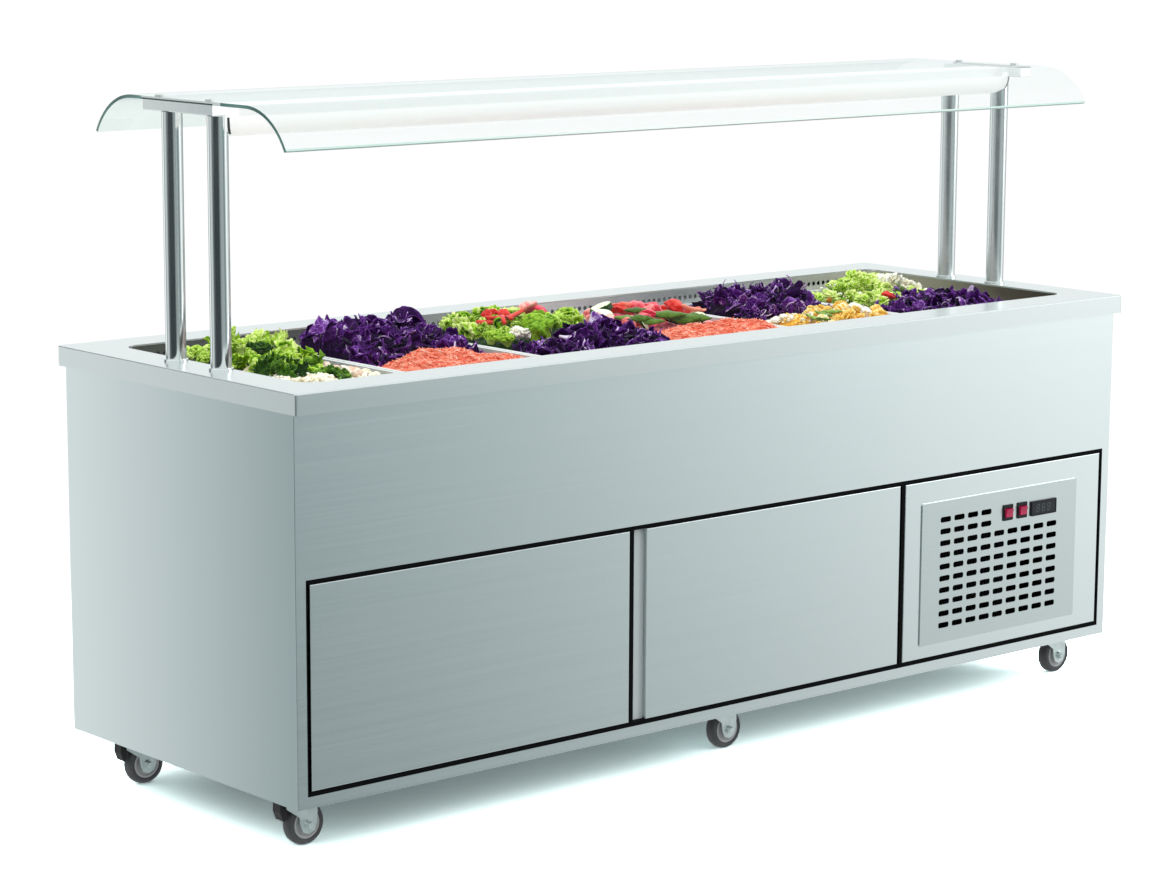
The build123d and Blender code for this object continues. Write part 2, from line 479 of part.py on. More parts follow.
# Evaporator under the pans, with its fan cowl and motor, and the fan wheel.
EX0, EX1, EZ0, EZ1 = 420.0, 840.0, WELL_FLOOR + 4, 646.0
ev = bx(EX0, EX1, -130, 130, EZ0, EZ1)
ev -= [bx(EX0 + 12 + 14 * i, EX0 + 18 + 14 * i, -131, 131, EZ1 - 24, EZ1 + 1) for i in range(29)]
ev += bx(EX0, EX0 + 14, -130, 130, WELL_FLOOR, EZ0) + bx(EX1 - 14, EX1, -130, 130, WELL_FLOOR, EZ0)
AX = 250.0
cowl = bx(AX - 110, AX + 110, -110, 110, WELL_FLOOR + 22, WELL_FLOOR + 56) - cz(AX, 0, 500, 700, 98)
for dx in (-100, 100):
    for dy in (-100, 100):
        cowl += cz(AX + dx, dy, WELL_FLOOR, WELL_FLOOR + 22, 7)
cowl += bx(AX - 105, AX + 105, -7, 7, WELL_FLOOR + 22, WELL_FLOOR + 26)
cowl += cz(AX, 0, WELL_FLOOR + 4, WELL_FLOOR + 27, 34)
cowl += cz(AX, 0, WELL_FLOOR + 26, WELL_FLOOR + 50, 4)
save("evaporator_coil", ev, cowl)
efan = fan(94, 26, 20, 5, 26, 40) - cz(0, 0, -1, 60, 4 + FIT)
save("evaporator_fan", Pos(AX, 0, WELL_FLOOR + 31) * efan)


def pipe(points, r):
    """Straight runs of pipe with round elbows."""
    body = None
    for p, q in zip(points, points[1:]):
        v = Vector(*q) - Vector(*p)
        run = Plane(origin=p, z_dir=v) * Pos(0, 0, v.length / 2) * Cylinder(r, v.length)
        body = run if body is None else body + run
    for p in points[1:-1]:
        body += Pos(*p) * Sphere(r * 1.02)
    return body


px, py = PIPE_PORT
suction = pipe([(COMP[0], COMP[1] - 86.5, 230), (COMP[0], py - 8, 230), (px - 8, py - 8, 560), (px - 8, py - 8, 612), (EX1 + 0.2, py + 40, 612)], 6)
liquid = pipe([(CX1 + 0.2, -300, 160), (830, -300, 160), (830, -230, 160), (px + 8, py + 8, 480), (px + 8, py + 8, 625), (EX1 + 0.2, py + 70, 625)], 4)
hot = pipe([(COMP[0] - 40, COMP[1] - 79, 200), (COMP[0] - 40, -200, 200), (820, -290, 380), (CX1 + 0.2, -290, 380)], 4)
save("refrigerant_pipes", suction, liquid, hot)

# Drain pipe from the well floor, with a stub below the tray, closed by its plug.
drain = cz(DRAIN_X, DRAIN_Y, 80, 104, STUB_R) + cz(DRAIN_X, DRAIN_Y, 104, WELL_FLOOR, DRAIN_R)
drain += cz(DRAIN_X, DRAIN_Y, WELL_FLOOR, WELL_FLOOR + 2, 19)
drain -= cz(DRAIN_X, DRAIN_Y, 110, 700, DRAIN_R - 2)
save("drain_outlet", drain)

gland = cy(GLAND_X, GLAND_Z, -YF - 14, -YF, GLAND_R) + cy(GLAND_X, GLAND_Z, -YF, -YF + 3, 15)
gland += cy(GLAND_X, GLAND_Z, -YF + 3, -YF + 13, 12) + cy(GLAND_X, GLAND_Z, -YF - 8, -YF - SKIN, 14.5)
gland -= cy(GLAND_X, GLAND_Z, -YF - 30, -YF + 30, 5.0)
save("mains_gland", gland)
print("parts written", len(os.listdir("parts")))
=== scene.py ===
import bpy
import math
import numpy as np
from mathutils import Matrix, Vector


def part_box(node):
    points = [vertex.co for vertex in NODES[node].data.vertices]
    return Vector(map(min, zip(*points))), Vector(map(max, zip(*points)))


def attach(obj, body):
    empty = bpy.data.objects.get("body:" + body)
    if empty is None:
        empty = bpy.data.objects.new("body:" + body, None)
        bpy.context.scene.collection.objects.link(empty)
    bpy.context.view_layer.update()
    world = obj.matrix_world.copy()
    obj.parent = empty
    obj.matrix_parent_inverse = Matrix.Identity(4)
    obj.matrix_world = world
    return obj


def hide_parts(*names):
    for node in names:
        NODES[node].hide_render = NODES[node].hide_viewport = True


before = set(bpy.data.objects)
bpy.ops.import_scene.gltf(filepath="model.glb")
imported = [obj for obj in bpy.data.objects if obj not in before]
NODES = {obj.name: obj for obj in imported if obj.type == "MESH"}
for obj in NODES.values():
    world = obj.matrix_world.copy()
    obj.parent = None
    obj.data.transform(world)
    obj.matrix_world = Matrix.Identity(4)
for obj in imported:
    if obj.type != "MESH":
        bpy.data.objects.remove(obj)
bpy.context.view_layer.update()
scene = bpy.context.scene
scene.view_settings.view_transform = "Standard"
scene.view_settings.look = "None"

# ---- camera -------------------------------------------------------------------
YAW, PITCH, ROLL, FOCAL_PX = 0.70852, -0.17326, 0.00424, 3227.3
cam_data = bpy.data.cameras.new("camera")
cam = bpy.data.objects.new("camera", cam_data)
scene.collection.objects.link(cam)
scene.camera = cam
cam_data.sensor_fit = "HORIZONTAL"
cam_data.sensor_width = 36.0
cam_data.lens = FOCAL_PX / 1152.0 * 36.0
cam_data.clip_start, cam_data.clip_end = 0.05, 200.0
forward = Vector((math.sin(YAW) * math.cos(PITCH), math.cos(YAW) * math.cos(PITCH), math.sin(PITCH)))
right0 = Vector((math.cos(YAW), -math.sin(YAW), 0.0))
up0 = right0.cross(forward)
right = right0 * math.cos(ROLL) + up0 * math.sin(ROLL)
up = up0 * math.cos(ROLL) - right0 * math.sin(ROLL)
spot = Vector((-4.2476, -4.8130, 1.6992))
cam.matrix_world = Matrix(((right.x, up.x, -forward.x, spot.x), (right.y, up.y, -forward.y, spot.y), (right.z, up.z, -forward.z, spot.z), (0, 0, 0, 1)))


# ---- node helpers -------------------------------------------------------------
def tree(name):
    m = bpy.data.materials.new(name)
    m.use_nodes = True
    nt = m.node_tree
    nt.nodes.clear()
    out = nt.nodes.new("ShaderNodeOutputMaterial")
    b = nt.nodes.new("ShaderNodeBsdfPrincipled")
    nt.links.new(b.outputs["BSDF"], out.inputs["Surface"])
    return m, nt, b


def obj_coord(nt, scale=(1, 1, 1), loc=(0, 0, 0)):
    tc = nt.nodes.new("ShaderNodeTexCoord")
    mp = nt.nodes.new("ShaderNodeMapping")
    mp.inputs["Scale"].default_value = scale
    mp.inputs["Location"].default_value = loc
    nt.links.new(tc.outputs["Object"], mp.inputs["Vector"])
    return mp.outputs["Vector"]


def noise_fac(nt, vec, scale, detail=2.0, rough=0.5, distort=0.0):
    n = nt.nodes.new("ShaderNodeTexNoise")
    n.inputs["Scale"].default_value = scale
    n.inputs["Detail"].default_value = detail
    n.inputs["Roughness"].default_value = rough
    n.inputs["Distortion"].default_value = distort
    nt.links.new(vec, n.inputs["Vector"])
    return n.outputs["Fac"]


def voronoi(nt, vec, scale, feature="F1", out="Distance"):
    n = nt.nodes.new("ShaderNodeTexVoronoi")
    n.feature = feature
    n.inputs["Scale"].default_value = scale
    nt.links.new(vec, n.inputs["Vector"])
    return n.outputs[out]


def remap(nt, fac, lo, hi, to_lo, to_hi, clamp=True):
    n = nt.nodes.new("ShaderNodeMapRange")
    n.clamp = clamp
    for k, v in (("From Min", lo), ("From Max", hi), ("To Min", to_lo), ("To Max", to_hi)):
        n.inputs[k].default_value = v
    nt.links.new(fac, n.inputs["Value"])
    return n.outputs["Result"]


def math_node(nt, op, a, b=None):
    n = nt.nodes.new("ShaderNodeMath")
    n.operation = op
    for i, x in enumerate((a, b)):
        if x is None:
            continue
        if isinstance(x, (int, float)):
            n.inputs[i].default_value = x
        else:
            nt.links.new(x, n.inputs[i])
    return n.outputs[0]


def mix_rgb(nt, fac, a, b):
    n = nt.nodes.new("ShaderNodeMix")
    n.data_type = "RGBA"
    for i, x in ((0, fac), (6, a), (7, b)):
        if isinstance(x, (int, float)):
            n.inputs[i].default_value = x
        elif isinstance(x, (tuple, list)):
            n.inputs[i].default_value = (*x, 1.0) if len(x) == 3 else x
        else:
            nt.links.new(x, n.inputs[i])
    return n.outputs[2]


def ramp(nt, fac, stops, mode="LINEAR"):
    n = nt.nodes.new("ShaderNodeValToRGB")
    n.color_ramp.interpolation = mode
    els = n.color_ramp.elements
    while len(els) < len(stops):
        els.new(0.5)
    for e, (p, c) in zip(els, sorted(stops, key=lambda s: s[0])):
        e.position = p
        e.color = (*c, 1.0) if isinstance(c, (tuple, list)) else (c, c, c, 1.0)
    nt.links.new(fac, n.inputs["Fac"])
    return n.outputs["Color"]


def bump(nt, b, height, strength, distance):
    n = nt.nodes.new("ShaderNodeBump")
    n.inputs["Strength"].default_value = strength
    n.inputs["Distance"].default_value = distance
    nt.links.new(height, n.inputs["Height"])
    nt.links.new(n.outputs["Normal"], b.inputs["Normal"])


def grain_dir(nt, b, direction, amount):
    """Brushing along one direction of the piece spreads the gloss across it."""
    b.inputs["Anisotropic"].default_value = amount
    b.inputs["Anisotropic Rotation"].default_value = 0.25
    t = nt.nodes.new("ShaderNodeVectorTransform")
    t.vector_type, t.convert_from, t.convert_to = "VECTOR", "OBJECT", "WORLD"
    t.inputs[0].default_value = direction
    nt.links.new(t.outputs[0], b.inputs["Tangent"])


def shade(c, k):
    return tuple(min(1.0, x * k) for x in c)


# ---- metals -------------------------------------------------------------------
def brushed(name, color, along, rough, aniso, grain=0.012, relief=0.02, loc=(0.0, 0.0, 0.0)):
    """Brushed sheet: long fine streaks, a few broader ones, soft cleaning marks."""
    m, nt, b = tree(name)
    fine_s = {"X": (1.6, 620, 620), "Z": (620, 620, 1.6)}[along]
    wide_s = {"X": (0.8, 170, 170), "Z": (170, 170, 0.8)}[along]
    fine = noise_fac(nt, obj_coord(nt, fine_s, loc), 1.0, 3.0, 0.62)
    wide = noise_fac(nt, obj_coord(nt, wide_s, (3.1 + loc[0], 1.7, 0.4 + loc[2])), 1.0, 2.0, 0.5)
    cloud = noise_fac(nt, obj_coord(nt, (1, 1, 1), (0.3 + loc[0], 0.9, 0.2)), 2.6, 3.0, 0.55, 0.4)
    streak = math_node(nt, "ADD", math_node(nt, "MULTIPLY", fine, 0.6), math_node(nt, "MULTIPLY", wide, 0.4))
    col = mix_rgb(nt, remap(nt, streak, 0.3, 0.7, 0.0, 1.0), shade(color, 1 - grain), shade(color, 1 + grain))
    col = mix_rgb(nt, remap(nt, cloud, 0.35, 0.75, 0.0, 0.35), col, shade(color, 0.975))
    nt.links.new(col, b.inputs["Base Color"])
    b.inputs["Metallic"].default_value = 1.0
    spread = math_node(nt, "ADD", math_node(nt, "MULTIPLY", streak, 0.75), math_node(nt, "MULTIPLY", cloud, 0.25))
    nt.links.new(remap(nt, spread, 0.3, 0.7, rough[0], rough[1]), b.inputs["Roughness"])
    bump(nt, b, fine, relief, 0.0002)
    if aniso:
        grain_dir(nt, b, (1, 0, 0) if along == "X" else (0, 0, 1), aniso)
    return m


def tube_metal(name, color, rough, relief=0.02):
    """Drawn and polished tube or bar with faint lengthwise lines and smears."""
    m, nt, b = tree(name)
    lines = noise_fac(nt, obj_coord(nt, (700, 700, 3)), 1.0, 2.0, 0.6)
    smear = noise_fac(nt, obj_coord(nt, (1, 1, 0.35)), 22.0, 3.0, 0.55)
    nt.links.new(mix_rgb(nt, remap(nt, lines, 0.3, 0.7, 0.0, 1.0), shade(color, 0.97), shade(color, 1.02)), b.inputs["Base Color"])
    b.inputs["Metallic"].default_value = 1.0
    nt.links.new(remap(nt, smear, 0.3, 0.7, rough[0], rough[1]), b.inputs["Roughness"])
    bump(nt, b, lines, relief, 0.0002)
    return m


def post_metal(color):
    """Polished tube, buffed brighter towards the left-hand pair."""
    m = tube_metal("polished_tube", color, (0.10, 0.15))
    nt = m.node_tree
    b = next(n for n in nt.nodes if n.type == "BSDF_PRINCIPLED")
    sep = nt.nodes.new("ShaderNodeSeparateXYZ")
    nt.links.new(obj_coord(nt), sep.inputs[0])
    smear = noise_fac(nt, obj_coord(nt, (1, 1, 0.35)), 22.0, 3.0, 0.55)
    dull = remap(nt, sep.outputs["X"], -1.0, 1.0, 0.0, 0.12)
    nt.links.new(math_node(nt, "ADD", remap(nt, smear, 0.3, 0.7, 0.085, 0.125), dull), b.inputs["Roughness"])
    return m


def spangle(name, color, rough):
    """Galvanised or zinc-plated steel: crystal patches and a dull bloom."""
    m, nt, b = tree(name)
    cells = voronoi(nt, obj_coord(nt), 95.0, "F1", "Color")
    sep = nt.nodes.new("ShaderNodeSeparateColor")
    nt.links.new(cells, sep.inputs[0])
    bloom = noise_fac(nt, obj_coord(nt), 40.0, 4.0, 0.6)
    col = mix_rgb(nt, sep.outputs[0], shade(color, 0.90), shade(color, 1.06))
    col = mix_rgb(nt, remap(nt, bloom, 0.4, 0.75, 0.0, 0.4), col, shade(color, 0.86))
    nt.links.new(col, b.inputs["Base Color"])
    b.inputs["Metallic"].default_value = 1.0
    nt.links.new(remap(nt, bloom, 0.3, 0.7, rough[0], rough[1]), b.inputs["Roughness"])
    bump(nt, b, bloom, 0.08, 0.0004)
    return m


def plastic(name, color, rough, grain=900.0, relief=0.12, vary=0.10, coat=0.0, spec=0.5):
    """Moulded plastic or rubber with a fine texture and slight wear."""
    m, nt, b = tree(name)
    tex = noise_fac(nt, obj_coord(nt), grain, 2.0, 0.5)
    blot = noise_fac(nt, obj_coord(nt), 30.0, 3.0, 0.55)
    nt.links.new(mix_rgb(nt, remap(nt, blot, 0.3, 0.7, 0.0, 1.0), shade(color, 1 - vary), shade(color, 1 + vary)), b.inputs["Base Color"])
    nt.links.new(remap(nt, blot, 0.3, 0.7, rough[0], rough[1]), b.inputs["Roughness"])
    b.inputs["Coat Weight"].default_value = coat
    b.inputs["Specular IOR Level"].default_value = spec
    bump(nt, b, tex, relief, 0.0003)
    return m


def well_steel():
    """Dull steel of the cold well with painted reflection along its length, lighter and darker in bands and khaki at
    the right end, and painted shade on the right end wall, darker towards the front.
    """
    m = brushed("well_steel", (0.5, 0.5, 0.5), "X", (0.34, 0.44), 0.0, 0.03, 0.03)
    nt = m.node_tree
    b = next(n for n in nt.nodes if n.type == "BSDF_PRINCIPLED")
    sep = nt.nodes.new("ShaderNodeSeparateXYZ")
    nt.links.new(obj_coord(nt), sep.inputs[0])
    # painted reflection: the base colour along the well's length stands in for what the steel reflects
    painted_reflection_tone = ramp(nt, remap(nt, sep.outputs["X"], -1.0, 1.0, 0.0, 1.0), [
        (0.0, (0.13, 0.135, 0.12)), (0.22, (0.15, 0.155, 0.16)), (0.36, (0.40, 0.41, 0.41)), (0.52, (0.66, 0.68, 0.69)), (0.62, (0.40, 0.42, 0.45)),
        (0.72, (0.34, 0.36, 0.37)), (0.84, (0.52, 0.53, 0.50)), (0.96, (0.52, 0.52, 0.44)), (1.0, (0.56, 0.55, 0.46))])
    grain = b.inputs["Base Color"].links[0].from_socket
    mul = nt.nodes.new("ShaderNodeMix")
    mul.data_type, mul.blend_type = "RGBA", "MULTIPLY"
    mul.inputs[0].default_value = 1.0
    # painted shade: the right end wall is darkened towards the front corner
    end_wall = math_node(nt, "GREATER_THAN", sep.outputs["X"], 0.980)
    end_wall_shade = ramp(nt, remap(nt, sep.outputs["Y"], -0.29, 0.29, 0.0, 1.0), [(0.0, (0.10, 0.085, 0.08)), (0.30, (0.26, 0.23, 0.20)), (0.62, (0.72, 0.69, 0.62)), (1.0, (1.0, 1.0, 0.95))])
    dim = nt.nodes.new("ShaderNodeMix")
    dim.data_type, dim.blend_type = "RGBA", "MULTIPLY"
    nt.links.new(end_wall, dim.inputs[0])
    nt.links.new(painted_reflection_tone, dim.inputs[6])
    nt.links.new(end_wall_shade, dim.inputs[7])
    nt.links.new(dim.outputs[2], mul.inputs[6])
    nt.links.new(grain, mul.inputs[7])
    lift = nt.nodes.new("ShaderNodeVectorMath")
    lift.operation = "SCALE"
    nt.links.new(mul.outputs[2], lift.inputs[0])
    lift.inputs["Scale"].default_value = 2.0
    nt.links.new(lift.outputs[0], b.inputs["Base Color"])
    b.inputs["Metallic"].default_value = 0.6
    return m


def underside_shade_tray():
    """Galvanised tray whose underside is painted near-black as painted shade, so the body's underside and the floor
    beneath it stay dark.
    """
    m = spangle("galvanised_tray", (0.62, 0.65, 0.65), (0.34, 0.5))
    nt = m.node_tree
    b = next(n for n in nt.nodes if n.type == "BSDF_PRINCIPLED")
    sep = nt.nodes.new("ShaderNodeSeparateXYZ")
    nt.links.new(obj_coord(nt), sep.inputs[0])
    shaded_underside = math_node(nt, "LESS_THAN", sep.outputs["Z"], 0.1084)
    zinc = b.inputs["Base Color"].links[0].from_socket
    # painted shade: the underside is near-black and not metallic
    nt.links.new(mix_rgb(nt, shaded_underside, zinc, (0.03, 0.032, 0.033)), b.inputs["Base Color"])
    nt.links.new(math_node(nt, "SUBTRACT", 1.0, shaded_underside), b.inputs["Metallic"])
    return m


STEEL = (0.765, 0.835, 0.835)


def grip_door():
    """Door sheet; the finger channel pressed along its left edge is painted a paler, less metallic grey, painted light
    that lifts the shade of the recess.
    """
    m = brushed("door_steel_grip", STEEL, "X", (0.20, 0.26), 0.55, 0.012, 0.02, (5.3, 0.0, 2.7))
    nt = m.node_tree
    b = next(n for n in nt.nodes if n.type == "BSDF_PRINCIPLED")
    sep = nt.nodes.new("ShaderNodeSeparateXYZ")
    nt.links.new(obj_coord(nt), sep.inputs[0])
    inside = math_node(nt, "MULTIPLY", math_node(nt, "LESS_THAN", sep.outputs["X"], -0.2582), math_node(nt, "GREATER_THAN", sep.outputs["Y"], -0.3652))
    grain = b.inputs["Base Color"].links[0].from_socket
    # painted light: a paler matte grey in the channel in place of its shade
    nt.links.new(mix_rgb(nt, inside, grain, (0.62, 0.68, 0.68)), b.inputs["Base Color"])
    nt.links.new(remap(nt, inside, 0.0, 1.0, 1.0, 0.25), b.inputs["Metallic"])
    return m


def pan_steel():
    """Satin pressed steel of the pans and their bars."""
    m = brushed("tank_steel", (0.84, 0.865, 0.86), "X", (0.30, 0.40), 0.0, 0.02, 0.03)
    next(n for n in m.node_tree.nodes if n.type == "BSDF_PRINCIPLED").inputs["Metallic"].default_value = 0.6
    return m


def worktop_steel():
    """Satin sheet; its rounded outer edge is duller than the flats."""
    m = brushed("worktop_steel", (0.80, 0.855, 0.85), "X", (0.22, 0.28), 0.0, 0.010, 0.015)
    nt = m.node_tree
    b = next(n for n in nt.nodes if n.type == "BSDF_PRINCIPLED")
    sep = nt.nodes.new("ShaderNodeSeparateXYZ")
    nt.links.new(obj_coord(nt), sep.inputs[0])
    edge = math_node(nt, "MULTIPLY", math_node(nt, "GREATER_THAN", math_node(nt, "ABSOLUTE", sep.outputs["Y"]), 0.38015), math_node(nt, "GREATER_THAN", sep.outputs["Z"], 0.83765))
    gloss = b.inputs["Roughness"].links[0].from_socket
    nt.links.new(math_node(nt, "ADD", gloss, math_node(nt, "MULTIPLY", edge, 0.34)), b.inputs["Roughness"])
    return m


def bracket_steel():
    """Polished bar whose end caps are painted white, matte and faintly glowing: painted reflection and glow in place of
    their bright mirror image.
    """
    m = tube_metal("bracket_steel", (0.87, 0.895, 0.89), (0.10, 0.16))
    nt = m.node_tree
    b = next(n for n in nt.nodes if n.type == "BSDF_PRINCIPLED")
    sep = nt.nodes.new("ShaderNodeSeparateXYZ")
    nt.links.new(obj_coord(nt), sep.inputs[0])
    near = math_node(nt, "MULTIPLY", sep.outputs["Y"], math_node(nt, "SIGN", sep.outputs["X"]))
    cap = math_node(nt, "MAXIMUM", math_node(nt, "GREATER_THAN", near, 0.0781), math_node(nt, "LESS_THAN", near, -0.1441))
    steel = b.inputs["Base Color"].links[0].from_socket
    # painted reflection: white, non-metallic end caps with a faint glow
    nt.links.new(mix_rgb(nt, cap, steel, (0.94, 0.95, 0.945)), b.inputs["Base Color"])
    nt.links.new(math_node(nt, "SUBTRACT", 1.0, cap), b.inputs["Metallic"])
    b.inputs["Emission Color"].default_value = (1, 1, 1, 1)
    nt.links.new(math_node(nt, "MULTIPLY", cap, 0.30), b.inputs["Emission Strength"])
    return m


def lamp_enamel():
    """White enamel of the lamp housing with a painted glow that lightens it, though the housing gives no light."""
    m = plastic("lamp_enamel", (0.88, 0.89, 0.88), (0.25, 0.33), 300.0, 0.04, 0.015)
    b = next(n for n in m.node_tree.nodes if n.type == "BSDF_PRINCIPLED")
    # painted glow: emission that lightens the housing
    b.inputs["Emission Color"].default_value = (1, 1, 1, 1)
    b.inputs["Emission Strength"].default_value = 0.25
    return m


def lamp_cap():
    """Milky end block that glows like the tube beside it, with a dark seal beside the post and a grey line along the other end."""
    m, nt, b = tree("lamp_cap_plastic")
    n = noise_fac(nt, obj_coord(nt), 60.0, 3.0, 0.5)
    sep = nt.nodes.new("ShaderNodeSeparateXYZ")
    nt.links.new(obj_coord(nt), sep.inputs[0])
    slant = math_node(nt, "SUBTRACT", math_node(nt, "MULTIPLY", sep.outputs["X"], 0.7593), math_node(nt, "MULTIPLY", sep.outputs["Y"], 0.6507))
    seal = math_node(nt, "MULTIPLY", math_node(nt, "LESS_THAN", math_node(nt, "ABSOLUTE", math_node(nt, "ADD", slant, 0.7062)), 0.0022), math_node(nt, "LESS_THAN", sep.outputs["Y"], -0.084))
    seal = math_node(nt, "MULTIPLY", seal, math_node(nt, "LESS_THAN", math_node(nt, "ABSOLUTE", math_node(nt, "SUBTRACT", sep.outputs["Z"], 1.2757)), 0.0157))
    plate = math_node(nt, "MAXIMUM", math_node(nt, "MULTIPLY", math_node(nt, "GREATER_THAN", sep.outputs["X"], 1.0130), 0.8), seal)
    milk = mix_rgb(nt, n, (0.86, 0.87, 0.86), (0.91, 0.92, 0.905))
    nt.links.new(mix_rgb(nt, plate, milk, (0.035, 0.045, 0.045)), b.inputs["Base Color"])
    nt.links.new(remap(nt, n, 0.3, 0.7, 0.30, 0.42), b.inputs["Roughness"])
    b.inputs["Emission Color"].default_value = (1, 1, 1, 1)
    nt.links.new(remap(nt, plate, 0.0, 1.0, 0.40, 0.0), b.inputs["Emission Strength"])
    return m


M = {
    "panel": brushed("panel_steel_h", STEEL, "X", (0.20, 0.26), 0.55),
    "door": brushed("door_steel", STEEL, "X", (0.20, 0.26), 0.55, 0.012, 0.02, (5.3, 0.0, 2.7)),
    "end": brushed("panel_steel_v", STEEL, "Z", (0.10, 0.14), 0.0, 0.008, 0.012),
    "top": worktop_steel(),
    "grip": grip_door(),
    "grille": brushed("grille_steel", (0.64, 0.715, 0.705), "X", (0.26, 0.34), 0.3, 0.010, 0.03),
    "tank": pan_steel(),
    "well": well_steel(),
    "posts": post_metal((0.80, 0.845, 0.84)),
    "bracket": bracket_steel(),
    "zinc": spangle("zinc_plate", (0.76, 0.85, 0.83), (0.26, 0.40)),
    "galv": spangle("galvanised_sheet", (0.62, 0.65, 0.65), (0.34, 0.5)),
    "tray": underside_shade_tray(),
    "foil": spangle("foil_facing", (0.74, 0.76, 0.76), (0.3, 0.45)),
    "coil": tube_metal("coil_metal", (0.42, 0.44, 0.45), (0.35, 0.5)),
    "button": tube_metal("cap_metal", (0.70, 0.745, 0.73), (0.40, 0.52)),
    "dark_coil": plastic("condenser_paint", (0.006, 0.006, 0.007), (0.6, 0.75), 400.0, 0.05, 0.2, 0.0, 0.1),
    "copper": tube_metal("copper_pipe", (0.72, 0.40, 0.26), (0.25, 0.4)),
    "black_steel": plastic("black_enamel", (0.014, 0.014, 0.015), (0.3, 0.42), 240.0, 0.06, 0.15, 0.1, 0.25),
    "black": plastic("black_plastic", (0.014, 0.015, 0.017), (0.32, 0.45), 1200.0, 0.10, 0.15, 0.0, 0.2),
    "cap": lamp_cap(),
    "seal": plastic("seal_rubber", (0.003, 0.0035, 0.004), (0.6, 0.75), 700.0, 0.10, 0.2, 0.0, 0.05),
    "grey_plastic": plastic("grey_plastic", (0.55, 0.56, 0.57), (0.4, 0.5), 900.0, 0.08, 0.06),
    "white_enamel": lamp_enamel(),
    "pedal": plastic("pedal_plastic", (0.02, 0.02, 0.021), (0.4, 0.55), 800.0, 0.15, 0.2, 0.0, 0.3),
}


def red_rocker():
    m, nt, b = tree("red_rocker")
    n = noise_fac(nt, obj_coord(nt), 260.0, 2.0, 0.5)
    nt.links.new(mix_rgb(nt, remap(nt, n, 0.3, 0.7, 0, 1), (0.40, 0.008, 0.060), (0.47, 0.012, 0.078)), b.inputs["Base Color"])
    nt.links.new(remap(nt, n, 0.3, 0.7, 0.16, 0.26), b.inputs["Roughness"])
    b.inputs["Emission Color"].default_value = (0.75, 0.01, 0.11, 1)
    b.inputs["Emission Strength"].default_value = 0.08
    return m


def display_window():
    m, nt, b = tree("display_window")
    n = noise_fac(nt, obj_coord(nt, (1, 1, 3)), 160.0, 2.0, 0.5)
    nt.links.new(mix_rgb(nt, remap(nt, n, 0.3, 0.7, 0, 1), (0.006, 0.009, 0.012), (0.010, 0.014, 0.018)), b.inputs["Base Color"])
    nt.links.new(remap(nt, n, 0.3, 0.7, 0.10, 0.2), b.inputs["Roughness"])
    b.inputs["Specular IOR Level"].default_value = 0.3
    return m


def segment_mat():
    m, nt, b = tree("display_segment")
    n = noise_fac(nt, obj_coord(nt), 900.0, 2.0, 0.5)
    nt.links.new(mix_rgb(nt, n, (0.045, 0.062, 0.070), (0.065, 0.085, 0.092)), b.inputs["Base Color"])
    b.inputs["Roughness"].default_value = 0.3
    return m


def diffuser():
    m, nt, b = tree("lamp_diffuser")
    n = noise_fac(nt, obj_coord(nt, (0.4, 220, 220)), 1.0, 2.0, 0.5)
    nt.links.new(mix_rgb(nt, n, (0.88, 0.89, 0.875), (0.93, 0.935, 0.92)), b.inputs["Base Color"])
    nt.links.new(remap(nt, n, 0.3, 0.7, 0.22, 0.32), b.inputs["Roughness"])
    b.inputs["Emission Color"].default_value = (1, 1, 1, 1)
    b.inputs["Emission Strength"].default_value = 0.42
    bump(nt, b, n, 0.05, 0.0005)
    return m


